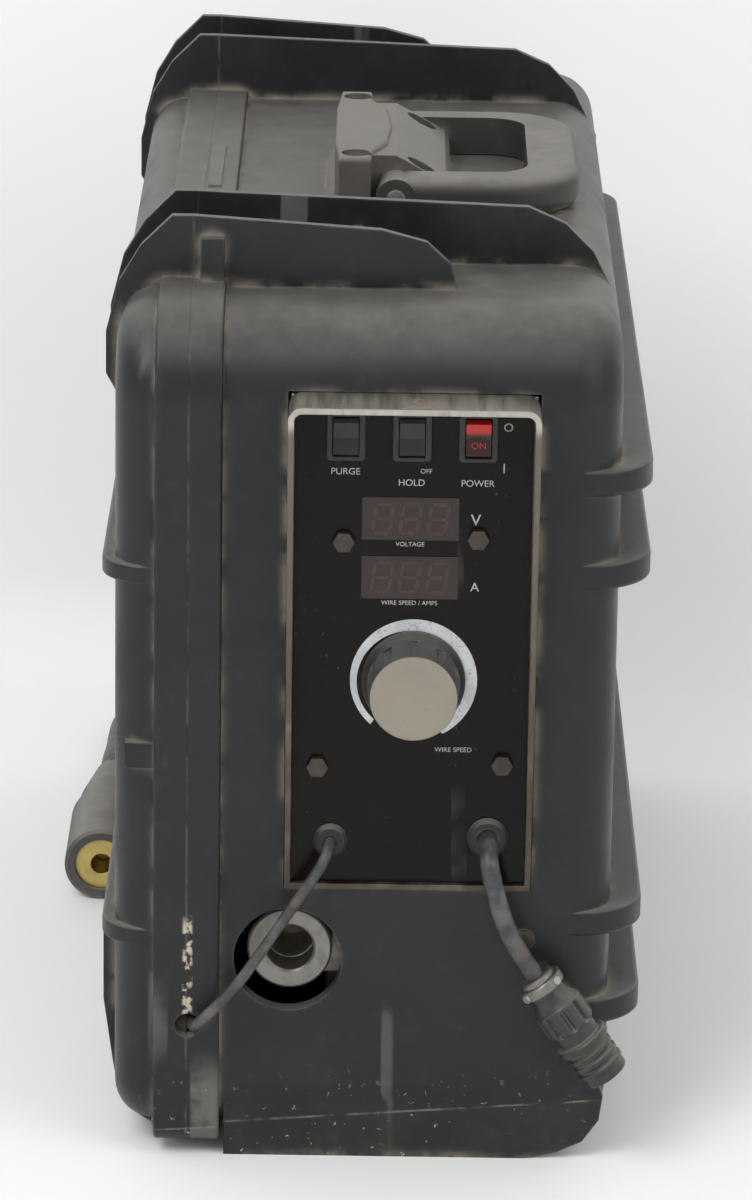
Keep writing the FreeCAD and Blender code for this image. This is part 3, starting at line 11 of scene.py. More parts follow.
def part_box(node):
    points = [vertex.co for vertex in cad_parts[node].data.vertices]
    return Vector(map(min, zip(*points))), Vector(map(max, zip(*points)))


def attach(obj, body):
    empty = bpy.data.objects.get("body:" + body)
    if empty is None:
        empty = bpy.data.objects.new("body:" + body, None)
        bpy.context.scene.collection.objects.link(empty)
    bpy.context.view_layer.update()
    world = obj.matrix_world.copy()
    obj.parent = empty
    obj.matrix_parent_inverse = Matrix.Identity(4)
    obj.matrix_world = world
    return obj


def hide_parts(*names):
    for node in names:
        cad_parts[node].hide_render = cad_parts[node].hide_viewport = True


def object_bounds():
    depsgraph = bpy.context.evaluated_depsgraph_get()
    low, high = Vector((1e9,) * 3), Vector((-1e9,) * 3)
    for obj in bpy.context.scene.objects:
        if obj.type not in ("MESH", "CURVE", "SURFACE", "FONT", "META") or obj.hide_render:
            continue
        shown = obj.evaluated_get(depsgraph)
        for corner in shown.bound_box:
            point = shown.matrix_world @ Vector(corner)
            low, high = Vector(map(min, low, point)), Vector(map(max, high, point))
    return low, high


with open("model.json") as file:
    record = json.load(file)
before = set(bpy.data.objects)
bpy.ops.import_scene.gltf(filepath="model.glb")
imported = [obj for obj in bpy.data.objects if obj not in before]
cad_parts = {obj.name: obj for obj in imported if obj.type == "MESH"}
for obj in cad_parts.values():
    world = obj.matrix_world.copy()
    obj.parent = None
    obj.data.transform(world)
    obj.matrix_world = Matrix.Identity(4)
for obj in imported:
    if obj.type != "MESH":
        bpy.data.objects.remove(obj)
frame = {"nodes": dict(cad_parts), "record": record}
CAD_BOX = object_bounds()
MM = 0.001

# ---------------------------------------------------------------- camera

CAMERA_PLACE = (-0.0001, -2.6148, 0.9956)
CAMERA_PITCH = math.radians(17.45)
CAMERA_ROLL = math.radians(0.83)
CAMERA_LENS = 180.0


def make_camera():
    data = bpy.data.cameras.new("camera")
    data.lens = CAMERA_LENS
    data.clip_end = 50.0
    camera = bpy.data.objects.new("camera", data)
    bpy.context.scene.collection.objects.link(camera)
    tilt = Matrix.Rotation(math.pi / 2 - CAMERA_PITCH, 4, "X")
    camera.matrix_world = (
        Matrix.Translation(CAMERA_PLACE) @ tilt @ Matrix.Rotation(CAMERA_ROLL, 4, "Z")
    )
    bpy.context.scene.camera = camera


# ---------------------------------------------------------------- cords

SENSE_ROUTE = [
    (-17.8, -234, 143.6),
    (-17.8, -249, 143.6),
    (-19.8, -254.3, 139.5),
    (-25, -254.5, 130.5),
    (-37, -253.5, 112),
    (-46.5, -253, 97),
    (-57, -253, 81),
    (-68, -253.5, 69.5),
    (-74.8, -250.8, 62),
    (-75.7, -243, 61),
    (-75.7, -228, 61),
]
TRIGGER_ROUTE = [
    (48.2, -234, 145.6),
    (48.2, -251, 145.6),
    (49, -259.5, 139),
    (51.5, -259.5, 127),
    (57, -257, 109.5),
    (64.354, -255.5, 96.013),
    (69, -255.5, 89.5),
]
WELD_ROUTE = [
    (-5, 231.3, 72),
    (-5, 284, 72),
    (-5.5, 320.8, 60),
    (-29.9, 354.4, 38),
    (-69.5, 367.3, 18),
    (-109.1, 354.4, 8),
    (-128.5, 320.8, 7.2),
    (-129, 262, 8.5),
    (-129, 224, 17.5),
    (-129, 198, 17.5),
]


def link(thing):
    bpy.context.scene.collection.objects.link(thing)
    return thing


def make_cord(name, route, diameter, on_it=()):
    """A smooth cord through the route's control points, standing for the CAD tube of that name."""
    data = bpy.data.curves.new(name + "_line", "CURVE")
    data.dimensions = "3D"
    data.resolution_u = 24
    data.bevel_depth = 1.0
    data.bevel_resolution = 8
    data.use_fill_caps = True
    spline = data.splines.new("NURBS")
    spline.points.add(len(route) - 1)
    for point, place in zip(spline.points, route):
        point.co = (*(value * MM for value in place), 1.0)
        point.radius = diameter / 2 * MM
    spline.order_u = 3
    spline.use_endpoint_u = True
    piece = link(bpy.data.objects.new(name + "_cord", data))
    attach(piece, "case")
    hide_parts(name)
    return piece


# ---------------------------------------------------------------- materials


class Paint:
    """A Principled material that takes its colour, roughness and relief in layers."""

    def __init__(self, name, colour, rough, metallic=0.0):
        self.material = bpy.data.materials.new(name)
        self.material.use_nodes = True
        self.tree = self.material.node_tree
        self.tree.nodes.clear()
        self.shader = self.node("ShaderNodeBsdfPrincipled")
        self.shader.inputs["Metallic"].default_value = metallic
        output = self.node("ShaderNodeOutputMaterial")
        self.tree.links.new(self.shader.outputs[0], output.inputs[0])
        self.colour = (*colour, 1.0)
        self.rough = rough
        self.relief = None
        self.place = self.node("ShaderNodeTexCoord").outputs["Object"]
        self.axes = self.node("ShaderNodeSeparateXYZ", {0: self.place}).outputs
        facing = self.node("ShaderNodeNewGeometry").outputs["Normal"]
        self.facing = self.node("ShaderNodeSeparateXYZ", {0: facing}).outputs

    def node(self, kind, inputs=None, **settings):
        made = self.tree.nodes.new(kind)
        for key, value in settings.items():
            setattr(made, key, value)
        for key, value in (inputs or {}).items():
            self.feed(made.inputs[key], value)
        return made

    def feed(self, socket, value):
        if isinstance(value, bpy.types.NodeSocket):
            self.tree.links.new(value, socket)
        else:
            socket.default_value = value

    def math(self, operation, first, second=0.0, clamp=False):
        made = self.node(
            "ShaderNodeMath", {0: first, 1: second}, operation=operation, use_clamp=clamp
        )
        return made.outputs[0]

    def both(self, first, second):
        return self.math("MULTIPLY", first, second)

    def fade(self, value, low, high, start=0.0, end=1.0):
        """Smooth step of value between low and high."""
        made = self.node(
            "ShaderNodeMapRange",
            {"Value": value, "From Min": low, "From Max": high, "To Min": start, "To Max": end},
            interpolation_type="SMOOTHSTEP",
        )
        return made.outputs[0]

    def noise(self, scale, detail=4.0, rough=0.55, stretch=(1, 1, 1), turn=(0, 0, 0), shift=0.0):
        mapped = self.node(
            "ShaderNodeMapping",
            {"Vector": self.place, "Scale": stretch, "Rotation": turn, "Location": (shift,) * 3},
        )
        made = self.node(
            "ShaderNodeTexNoise",
            {"Vector": mapped.outputs[0], "Scale": scale, "Detail": detail, "Roughness": rough},
        )
        return made.outputs["Fac"]

    def blotch(self, scale, low, high, **more):
        return self.fade(self.noise(scale, **more), low, high)

    def tint(self, mask, colour, rough=None):
        """Lays a colour, and a roughness with it, over the mask."""
        made = self.node("ShaderNodeMix", data_type="RGBA", blend_type="MIX")
        self.feed(made.inputs[0], mask)
        self.feed(made.inputs[6], self.colour)
        self.feed(made.inputs[7], (*colour, 1.0))
        self.colour = made.outputs[2]
        if rough is not None:
            self.roughen(mask, rough)

    def roughen(self, mask, rough):
        made = self.node("ShaderNodeMix", {0: mask}, data_type="FLOAT")
        self.feed(made.inputs[2], self.rough)
        self.feed(made.inputs[3], rough)
        self.rough = made.outputs[0]

    def lift(self, height, size):
        """Adds relief: height is 0 to 1, size is its depth in millimetres."""
        scaled = self.both(height, size)
        self.relief = scaled if self.relief is None else self.math("ADD", self.relief, scaled)

    def edges(self, radius, low=0.02, high=0.35):
        """Bright where a convex or concave edge is nearer than the radius."""
        bevel = self.node("ShaderNodeBevel", {"Radius": radius * MM}, samples=6)
        flat = self.node("ShaderNodeNewGeometry").outputs["Normal"]
        turn = self.node(
            "ShaderNodeVectorMath", {0: bevel.outputs[0], 1: flat}, operation="DOT_PRODUCT"
        )
        return self.fade(self.math("SUBTRACT", 1.0, turn.outputs["Value"]), low, high)

    def hollows(self, reach, low=0.15, high=0.75):
        """Bright in crevices and inner corners."""
        made = self.node(
            "ShaderNodeAmbientOcclusion", {"Distance": reach * MM}, samples=6, only_local=False
        )
        return self.fade(self.math("SUBTRACT", 1.0, made.outputs["AO"]), low, high)

    def above(self, axis, low, high):
        """Fade along a coordinate, in millimetres."""
        return self.fade(self.axes[axis], low * MM, high * MM)

    def done(self, soften=0.6):
        self.feed(self.shader.inputs["Base Color"], self.colour)
        self.feed(self.shader.inputs["Roughness"], self.rough)
        normal = None
        if soften:
            normal = self.node("ShaderNodeBevel", {"Radius": soften * MM}, samples=4).outputs[0]
        if self.relief is not None:
            bump = self.node("ShaderNodeBump", {"Height": self.relief, "Distance": MM})
            bump.inputs["Strength"].default_value = 1.0
            if normal is not None:
                self.feed(bump.inputs["Normal"], normal)
            normal = bump.outputs[0]
        if normal is not None:
            self.feed(self.shader.inputs["Normal"], normal)
        return self.material


DUST = (0.36, 0.34, 0.31)
PALE_DIRT = (0.50, 0.44, 0.34)
BROWN_DIRT = (0.11, 0.075, 0.045)
GREY_WEAR = (0.21, 0.21, 0.21)
STAIN_BROWN = (0.05, 0.042, 0.034)
CASE_WEAR = (0.12, 0.12, 0.115)
CASE_SCRATCH = (0.11, 0.11, 0.11)
PARTING_LINE = 0.0775
MOULD_LINE_SLOPE = 0.076
MOULD_LINE_HEIGHT = 0.0197
RUST_SPOT = (0.018, -0.256, 0.338)


def grime(paint, dust=0.5, wear=0.4, crevice=0.4, wear_colour=GREY_WEAR, edge=1.4):
    """Mottle, settled dust with painted light from above on upward faces, rubbed edges and dirt in the
    corners, in that order.
    """
    dark = tuple(0.55 * value for value in paint.colour[:3])
    paint.tint(paint.both(paint.blotch(26, 0.35, 0.7, detail=6), 0.35), dark)
    # Upward faces lighter: settled dust, and with it a painted highlight standing for the light from
    # above.
    upward = paint.fade(paint.facing["Z"], 0.3, 0.95)
    cover = paint.fade(paint.noise(60, detail=7, rough=0.7), 0.2, 0.8, 0.55, 1.0)
    dust_and_top_light = paint.both(upward, cover)
    paint.tint(paint.both(dust_and_top_light, dust), DUST, rough=0.85)
    haze = paint.both(paint.blotch(90, 0.5, 0.85, detail=8, rough=0.7, shift=3), 0.12 * dust)
    paint.tint(haze, DUST, rough=0.8)
    if crevice:
        corner = paint.both(paint.hollows(7), paint.blotch(45, 0.4, 0.62, detail=6, shift=7))
        paint.tint(paint.both(corner, crevice), PALE_DIRT, rough=0.9)
    if wear:
        rubbed = paint.both(paint.edges(edge), paint.blotch(70, 0.38, 0.6, detail=6, shift=1))
        paint.tint(paint.both(rubbed, wear), wear_colour)
    return paint


def scratches(paint, colour, amount, turn, scale=55, shift=0.0):
    """Fine straight scratches along one direction."""
    line = paint.blotch(scale, 0.66, 0.70, stretch=(1, 1, 0.03), turn=turn, shift=shift, detail=2)
    where = paint.blotch(12, 0.5, 0.66, shift=shift + 5)
    paint.tint(paint.both(paint.both(line, where), amount), colour)


def case_paint():
    """Black moulded plastic with chips, stains, specks and scratches."""
    paint = Paint("case_plastic", (0.012, 0.0125, 0.0135), 0.36)
    paint.shader.inputs["Specular IOR Level"].default_value = 0.36
    # The dust amount here also sets the painted top light on the case's upward faces.
    grime(paint, dust=0.32, wear=0.85, crevice=0.7, wear_colour=CASE_WEAR, edge=1.8)
    parting = paint.math("ABSOLUTE", paint.math("ADD", paint.axes["X"], PARTING_LINE))
    chips = paint.both(paint.fade(parting, 0.0026, 0.0012), paint.above("Z", 55, 62))
    chips = paint.both(chips, paint.above("Z", 112, 104))
    chips = paint.both(chips, paint.blotch(230, 0.48, 0.56, detail=5))
    paint.tint(chips, PALE_DIRT, rough=0.9)
    strip = paint.both(paint.above("X", -76.5, -75.5), paint.above("X", -62, -64))
    strip = paint.both(strip, paint.above("Z", 52, 30))
    strip = paint.both(strip, paint.blotch(60, 0.3, 0.55, detail=7))
    paint.tint(paint.both(strip, 0.75), (0.15, 0.145, 0.13), rough=0.8)
    low = paint.fade(paint.axes["Z"], 60 * MM, 0.0)
    stain = paint.both(low, paint.blotch(30, 0.42, 0.66, detail=8, shift=2))
    paint.tint(paint.both(stain, 0.3), STAIN_BROWN, rough=0.8)
    speck = paint.both(paint.blotch(300, 0.66, 0.71, detail=3), paint.above("Z", 48, 5))
    paint.tint(paint.both(speck, 0.7), PALE_DIRT, rough=0.9)
    front = paint.fade(paint.facing["Y"], -0.5, -0.9)
    slope = paint.math("MULTIPLY", paint.axes["X"], MOULD_LINE_SLOPE)
    height = paint.math("SUBTRACT", paint.axes["Z"], slope)
    height = paint.math("SUBTRACT", height, MOULD_LINE_HEIGHT)
    line = paint.fade(paint.math("ABSOLUTE", height), 0.0007, 0.0002)
    line = paint.both(paint.both(line, front), paint.blotch(55, 0.42, 0.6, detail=7))
    paint.tint(paint.both(line, 0.25), PALE_DIRT, rough=0.8)
    scratches(paint, CASE_SCRATCH, 0.8, (0, 0.5, 0))
    scratches(paint, CASE_SCRATCH, 0.7, (0, -1.2, 0.3), shift=9)
    paint.lift(paint.noise(700, detail=2), 0.05)
    paint.lift(paint.noise(35, detail=3), 0.2)
    paint.roughen(paint.blotch(25, 0.4, 0.7, shift=4), 0.5)
    return paint.done(0.9)


def plain_paint(name, colour, rough, dust=0.4, wear=0.35, crevice=0.35, grain=400, depth=0.04, **more):
    paint = grime(Paint(name, colour, rough), dust, wear, crevice, **more)
    paint.lift(paint.noise(grain, detail=3), depth)
    return paint.done()


def metal_paint(name, colour, rough, brushed=(1, 1, 1), tarnish=0.35, stain=BROWN_DIRT, dust=0.25):
    paint = Paint(name, colour, rough, metallic=1.0)
    dark = tuple(0.6 * value for value in colour)
    line = paint.noise(240, detail=3, stretch=brushed)
    paint.tint(paint.both(paint.fade(line, 0.35, 0.7), 0.35), dark)
    paint.roughen(paint.fade(line, 0.3, 0.7), min(1.0, rough + 0.18))
    spots = paint.both(paint.blotch(40, 0.5, 0.7, detail=7), paint.hollows(5, 0.05, 0.6))
    paint.tint(paint.both(spots, tarnish), stain, rough=0.8)
    upward = paint.both(paint.fade(paint.facing["Z"], 0.4, 1.0), paint.blotch(50, 0.35, 0.7))
    paint.tint(paint.both(upward, dust), DUST, rough=0.85)
    paint.lift(line, 0.03)
    return paint.done()


def stainless_paint():
    paint = Paint("stainless", (0.50, 0.47, 0.42), 0.34, metallic=1.0)
    line = paint.noise(260, detail=4, stretch=(1, 0.05, 0.05))
    paint.tint(paint.both(paint.fade(line, 0.3, 0.75), 0.45), (0.32, 0.30, 0.27))
    low = paint.above("Z", 330, 150)
    paint.tint(paint.both(low, paint.blotch(70, 0.2, 0.6, detail=6)), (0.065, 0.055, 0.042), rough=0.6)
    paint.roughen(paint.fade(line, 0.3, 0.7), 0.48)
    # Painted shade: the forward-facing faces of the flange below its top are tinted darker.
    front_shade = paint.both(paint.fade(paint.facing["Y"], -0.6, -0.9), paint.above("Z", 332, 326))
    paint.tint(paint.both(front_shade, 0.8), (0.10, 0.085, 0.065), rough=0.5)
    rust = paint.node(
        "ShaderNodeVectorMath", {0: paint.place, 1: RUST_SPOT}, operation="DISTANCE"
    ).outputs["Value"]
    rust = paint.both(paint.fade(rust, 0.009, 0.002), paint.blotch(220, 0.42, 0.58, detail=6))
    paint.tint(paint.both(rust, 0.85), (0.35, 0.13, 0.04), rough=0.8)
    spots = paint.both(paint.blotch(90, 0.6, 0.72, detail=7), 0.5)
    paint.tint(spots, (0.16, 0.12, 0.09), rough=0.7)
    paint.tint(paint.both(paint.hollows(4, 0.2, 0.9), 0.45), (0.05, 0.04, 0.035), rough=0.8)
    paint.lift(line, 0.02)
    return paint.done(0.8)


def label_paint():
    paint = Paint("label_black", (0.0045, 0.0030, 0.0025), 0.13)
    paint.shader.inputs["Specular IOR Level"].default_value = 0.16
    smear = paint.blotch(26, 0.45, 0.75, detail=7, rough=0.7)
    paint.tint(paint.both(smear, 0.2), (0.012, 0.009, 0.007), rough=0.3)
    fleck = paint.both(paint.blotch(420, 0.68, 0.73, detail=2), paint.blotch(30, 0.45, 0.7, shift=5))
    paint.tint(paint.both(fleck, 0.6), (0.10, 0.08, 0.06), rough=0.7)
    edge = paint.both(paint.hollows(5, 0.1, 0.8), paint.blotch(60, 0.35, 0.7, shift=2))
    paint.tint(paint.both(edge, 0.3), (0.05, 0.038, 0.028), rough=0.8)
    scratches(paint, (0.09, 0.08, 0.07), 0.8, (0, 0.25, 0), scale=70, shift=2)
    paint.roughen(paint.blotch(12, 0.3, 0.7, shift=8), 0.22)
    return paint.done(0)


def window_paint():
    paint = Paint("display_window", (0.012, 0.005, 0.0035), 0.12)
    paint.tint(paint.both(paint.blotch(60, 0.4, 0.7), 0.4), (0.022, 0.011, 0.008), rough=0.3)
    return paint.done(0)


def brass_paint():
    paint = Paint("brass", (0.58, 0.47, 0.17), 0.30, metallic=1.0)
    paint.tint(paint.both(paint.blotch(90, 0.4, 0.7, detail=6), 0.5), (0.33, 0.21, 0.07), rough=0.5)
    paint.tint(paint.both(paint.hollows(4, 0.1, 0.7), 0.7), (0.07, 0.05, 0.02), rough=0.7)
    turned = paint.noise(500, detail=2, stretch=(1, 0.1, 1))
    paint.lift(turned, 0.03)
    return paint.done()


def cable_paint(name, colour, rough, dust):
    paint = Paint(name, colour, rough)
    paint.tint(paint.blotch(40, 0.4, 0.7), tuple(0.7 * value for value in colour))
    haze = paint.both(paint.blotch(120, 0.4, 0.7, detail=7), dust)
    paint.tint(haze, DUST, rough=0.8)
    paint.tint(paint.both(paint.blotch(60, 0.55, 0.7, shift=6), 0.5), BROWN_DIRT, rough=0.8)
    paint.lift(paint.noise(300, detail=4), 0.06)
    return paint.done(0)


def knob_cap_paint():
    paint = Paint("knob_cap", (0.25, 0.225, 0.18), 0.5)
    paint.tint(paint.both(paint.blotch(30, 0.4, 0.75, detail=6), 0.4), (0.19, 0.165, 0.13), rough=0.65)
    fleck = paint.blotch(500, 0.68, 0.73, detail=2)
    paint.tint(paint.both(fleck, 0.5), (0.10, 0.08, 0.06))
    paint.tint(paint.both(paint.edges(0.9), 0.5), (0.22, 0.19, 0.15))
    paint.lift(paint.noise(350, detail=3), 0.03)
    return paint.done()


def rocker_paint():
    """Red rocker whose upper part is lit."""
    paint = Paint("power_rocker", (0.030, 0.005, 0.004), 0.25)
    paint.tint(paint.above("Z", 321.5, 323.5), (0.55, 0.018, 0.012))
    return paint.done()


def board_paint():
    paint = Paint("board_green", (0.02, 0.10, 0.04), 0.4)
    track = paint.node(
        "ShaderNodeTexBrick",
        {"Vector": paint.place, "Scale": 130.0, "Mortar Size": 0.03},
    ).outputs["Fac"]
    paint.tint(track, (0.05, 0.20, 0.08))
    paint.tint(paint.both(paint.blotch(60, 0.4, 0.7), 0.3), DUST, rough=0.8)
    paint.lift(track, 0.05)
    return paint.done(0)


def paints():
    """One material for each material slot of the record."""
    made = {
        "case_plastic": case_paint(),
        "stainless": stainless_paint(),
        "label_black": label_paint(),
        "display_window": window_paint(),
        "brass": brass_paint(),
        "knob_cap": knob_cap_paint(),
        "board_green": board_paint(),
        "power_rocker": rocker_paint(),
        "cable_grey": cable_paint("cable_grey", (0.040, 0.041, 0.043), 0.45, 0.22),
        "cable_black": cable_paint("cable_black", (0.022, 0.022, 0.025), 0.5, 0.3),
    }
    for name, colour, rough, more in (
        ("seal_rubber", (0.02, 0.02, 0.02), 0.7, {}),
        ("latch_pad", (0.045, 0.045, 0.045), 0.7, {"crevice": 0.4}),
        ("bracket_cast", (0.085, 0.078, 0.070), 0.45, {"dust": 0.25, "wear": 0.4}),
        ("handle_rubber", (0.030, 0.029, 0.027), 0.55, {"dust": 0.5, "wear": 0.4}),
        ("switch_black", (0.014, 0.013, 0.014), 0.35, {"dust": 0.3, "wear": 0.2}),
        ("knob_black", (0.028, 0.027, 0.026), 0.42, {"dust": 0.25, "wear": 0.8}),
        ("grommet_rubber", (0.012, 0.012, 0.012), 0.6, {}),
        (
            "plug_plastic", (0.028, 0.027, 0.026), 0.36,
            {"dust": 0.3, "wear": 1.0, "wear_colour": (0.30, 0.29, 0.26)},
        ),
        ("boot_rubber", (0.075, 0.072, 0.066), 0.6, {"dust": 0.6}),
        ("motor_paint", (0.03, 0.03, 0.033), 0.4, {}),
        ("plate_steel", (0.23, 0.24, 0.25), 0.45, {"dust": 0.3}),
        ("hub_plastic", (0.02, 0.02, 0.023), 0.45, {}),
    ):
        made[name] = plain_paint(name, colour, rough, **more)
    for name, colour, rough, more in (
        ("zinc_steel", (0.42, 0.41, 0.39), 0.38, {"tarnish": 0.6}),
        ("plug_metal", (0.24, 0.23, 0.21), 0.40, {"tarnish": 0.8, "dust": 0.2}),
        ("valve_brass", (0.55, 0.42, 0.18), 0.35, {}),
        ("copper", (0.62, 0.30, 0.17), 0.35, {}),
        ("cast_aluminium", (0.50, 0.47, 0.42), 0.50, {"tarnish": 0.5}),
        ("gear_steel", (0.45, 0.45, 0.46), 0.32, {"brushed": (0.1, 1, 1)}),
        ("spring_steel", (0.42, 0.42, 0.44), 0.30, {}),
    ):
        made[name] = metal_paint(name, colour, rough, **more)
    return made


def dress_nodes(made):
    dark = metal_paint("dark_screws", (0.085, 0.075, 0.065), 0.45, tarnish=0.6, dust=0.1)
    for part in frame["record"]["subparts"]:
        node = frame["nodes"][part["node"]]
        node.data.materials.clear()
        worn = part["node"] in ("panel_screws", "handle_screws", "case_screws")
        node.data.materials.append(dark if worn else made[part["material_slot"]])


# ---------------------------------------------------------------- marks on the panel

MARK_LIFT = 0.12
MARK_THICK = 0.1


def mesh_piece(name, build, body, material):
    """A piece from bmesh code, riding on a body."""
    data = bpy.data.meshes.new(name)
    shape = bmesh.new()
    build(shape)
    shape.to_mesh(data)
    shape.free()
    piece = link(bpy.data.objects.new(name, data))
    data.materials.append(material)
    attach(piece, body)
    return piece


def flat_prism(shape, outline, front, thick):
    """Closed plate facing the front: outline is (x, z) in millimetres, front is its y."""
    faces = []
    for y in (front, front + thick):
        faces.append([shape.verts.new((x * MM, y * MM, z * MM)) for x, z in outline])
    near, far = faces
    shape.faces.new(near)
    shape.faces.new(reversed(far))
    count = len(outline)
    for i in range(count):
        j = (i + 1) % count
        shape.faces.new((near[j], near[i], far[i], far[j]))


def print_paint(name, colour):
    """Screen-printed ink, worn thin in places."""
    paint = Paint(name, colour, 0.45)
    paint.tint(paint.blotch(160, 0.35, 0.75, detail=6), tuple(0.75 * value for value in colour))
    fleck = paint.blotch(600, 0.62, 0.70, detail=2)
    paint.tint(paint.both(fleck, 0.5), (0.08, 0.07, 0.06))
    return paint.done(0)


def corners_mm(node):
    low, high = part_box(node)
    return low / MM, high / MM


def centre_mm(node):
    low, high = corners_mm(node)
    return (low + high) / 2


def lettering(name, text, x, z, front, size, body, material, slant=0.0):
    """A printed word or figure, centred at (x, z)."""
    data = bpy.data.curves.new(name, "FONT")
    data.body = text
    data.size = size * MM
    data.shear = slant
    data.align_x = "CENTER"
    data.align_y = "CENTER"
    data.extrude = MARK_THICK / 2 * MM
    data.materials.append(material)
    piece = link(bpy.data.objects.new(name, data))
    piece.matrix_world = Matrix.Translation(
        Vector((x, front - MARK_THICK / 2, z)) * MM
    ) @ Matrix.Rotation(math.pi / 2, 4, "X")
    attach(piece, body)
    return piece


PLUG_PLACE = Vector((69, -255.5, 89.5))
PLUG_TILT = math.radians(54.5)
PLUG_WAY = Vector((math.cos(PLUG_TILT), 0, -math.sin(PLUG_TILT)))
PLUG_UP = Vector((math.sin(PLUG_TILT), 0, math.cos(PLUG_TILT)))
PLUG_SIDE = Vector((0, 1, 0))
FLUTES = 9
CLAMP_RINGS = [
    (0, 4.2, 0), (0, 6.6, 0), (0.6, 7.4, 0), (2.2, 7.8, 0), (2.4, 9.4, 0), (3, 9.9, 0),
    (6.6, 9.9, 0), (7.2, 9.3, 0), (7.2, 6.0, 0),
]
NUT_RINGS = [
    (7.2, 5.0, 0), (7.2, 7.6, 0), (10, 7.9, 0), (13, 8.9, 0), (15, 9.9, 0), (15.6, 10.6, 0),
    (16.4, 10.9, 0.4), (17.4, 10.9, 1.9), (26, 11, 1.9), (27, 10.8, 0.8), (27.6, 10.2, 0),
    (27.6, 5.0, 0),
]
COUPLING_RINGS = [
    (27.6, 5.0, 0), (27.6, 9.2, 0), (33.4, 9.2, 0), (33.6, 11.4, 0), (34.4, 11.9, 0),
    (36.6, 11.9, 0), (37.4, 11.3, 0), (37.6, 9.6, 0), (39, 9.6, 0), (39.8, 10.6, 0),
    (41.2, 10.6, 0), (42, 9.6, 0), (43, 9.6, 0), (43.8, 10.6, 0), (45.2, 10.6, 0),
    (46, 9.6, 0), (47, 9.6, 0), (47.8, 10.6, 0), (49.2, 10.6, 0), (50, 9.8, 0),
    (53.4, 9.8, 0), (54, 9.4, 0), (54, 8.6, 0), (49, 8.6, 0),
]


def lathe(shape, rings):
    """A solid of revolution along the plug's axis: rings are (along, radius, depth of flutes)."""
    steps = 108
    made = []
    for along, radius, cut in rings:
        ring = []
        for i in range(steps):
            angle = 2 * math.pi * i / steps
            reach = radius - cut * max(0.0, math.cos(FLUTES * angle) - 0.35) / 0.65
            aside = PLUG_UP * math.cos(angle) + PLUG_SIDE * math.sin(angle)
            ring.append(shape.verts.new((PLUG_PLACE + PLUG_WAY * along + aside * reach) * MM))
        made.append(ring)
    for near, far in zip(made, made[1:]):
        for i in range(steps):
            j = (i + 1) % steps
            shape.faces.new((near[i], near[j], far[j], far[i]))
    shape.faces.new(made[0])
    shape.faces.new(made[-1])
    bmesh.ops.recalc_face_normals(shape, faces=shape.faces)


def clamp_screws(shape):
    """The two small screws of the strain relief, one each side."""
    for side in (-1, 1):
        across = (PLUG_UP * side - PLUG_SIDE * 0.9).normalized()
        middle = PLUG_PLACE + PLUG_WAY * 4.8 + across * 9.6
        turn = across.to_track_quat("Z", "Y").to_matrix().to_4x4()
        bmesh.ops.create_cone(
            shape, cap_ends=True, segments=24, radius1=2.1 * MM, radius2=1.8 * MM, depth=2.4 * MM,
            matrix=Matrix.Translation(middle * MM) @ turn,
        )


def plug_shells(made):
    """Strain relief, fluted nut and threaded coupling, over the plain plug solids."""
    shells = []
    for node, rings, slot in (
        ("plug_clamp", CLAMP_RINGS, "plug_metal"),
        ("plug_body", NUT_RINGS, "plug_plastic"),
        ("plug_ring", COUPLING_RINGS, "plug_plastic"),
    ):
        shell = mesh_piece(
            node + "_shell", lambda shape, rings=rings: lathe(shape, rings),
            "case", made[slot],
        )
        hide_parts(node)
        shells.append(shell)
    shells.append(mesh_piece("plug_screws", clamp_screws, "case", made["zinc_steel"]))
    return shells


KNOB_FACE_LIFT = 0.6
KNOB_FACE_RINGS = [(0, 12), (-0.4, 18.2), (-0.9, 18), (-1.2, 17.3)]
NOSE_PLACE = (-34.5, -222, 94)
NOSE_RINGS = [(0, 10.5), (0, 18), (-16, 18), (-17, 17), (-17, 11), (-16, 10)]


def turned_rings(shape, centre, rings, closed):
    """A solid of revolution along Y: rings are (along, radius) from the centre, in millimetres."""
    steps = 96
    made = []
    for along, radius in rings:
        ring = []
        for i in range(steps):
            angle = 2 * math.pi * i / steps
            offset = Vector((radius * math.cos(angle), along, radius * math.sin(angle)))
            ring.append(shape.verts.new((Vector(centre) + offset) * MM))
        made.append(ring)
    pairs = list(zip(made, made[1:]))
    if closed:
        pairs.append((made[-1], made[0]))
    else:
        shape.faces.new(made[0])
        shape.faces.new(made[-1])
    for near, far in pairs:
        for i in range(steps):
            j = (i + 1) % steps
            shape.faces.new((near[i], near[j], far[j], far[i]))
    bmesh.ops.recalc_face_normals(shape, faces=shape.faces)


def knob_face(made):
    """The wide pale face of the speed knob, over the plain cap."""
    low, high = corners_mm("knob_cap")
    centre = ((low.x + high.x) / 2, low.y + KNOB_FACE_LIFT, (low.z + high.z) / 2)
    face = mesh_piece(
        "knob_face", lambda shape: turned_rings(shape, centre, KNOB_FACE_RINGS, False),
        "speed_knob", made["knob_cap"],
    )
    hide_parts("knob_cap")


def gun_nose(made):
    """The ring round the gun bore, just inside the case's front hole."""
    mesh_piece(
        "gun_nose", lambda shape: turned_rings(shape, NOSE_PLACE, NOSE_RINGS, True),
        "case", made["plug_metal"],
    )


ARC_OUTER = 26.5
ARC_INNER = 22.4
ARC_OFFSET = (-1.3, -0.9)
ARC_START = math.radians(228)
ARC_END = math.radians(-62)


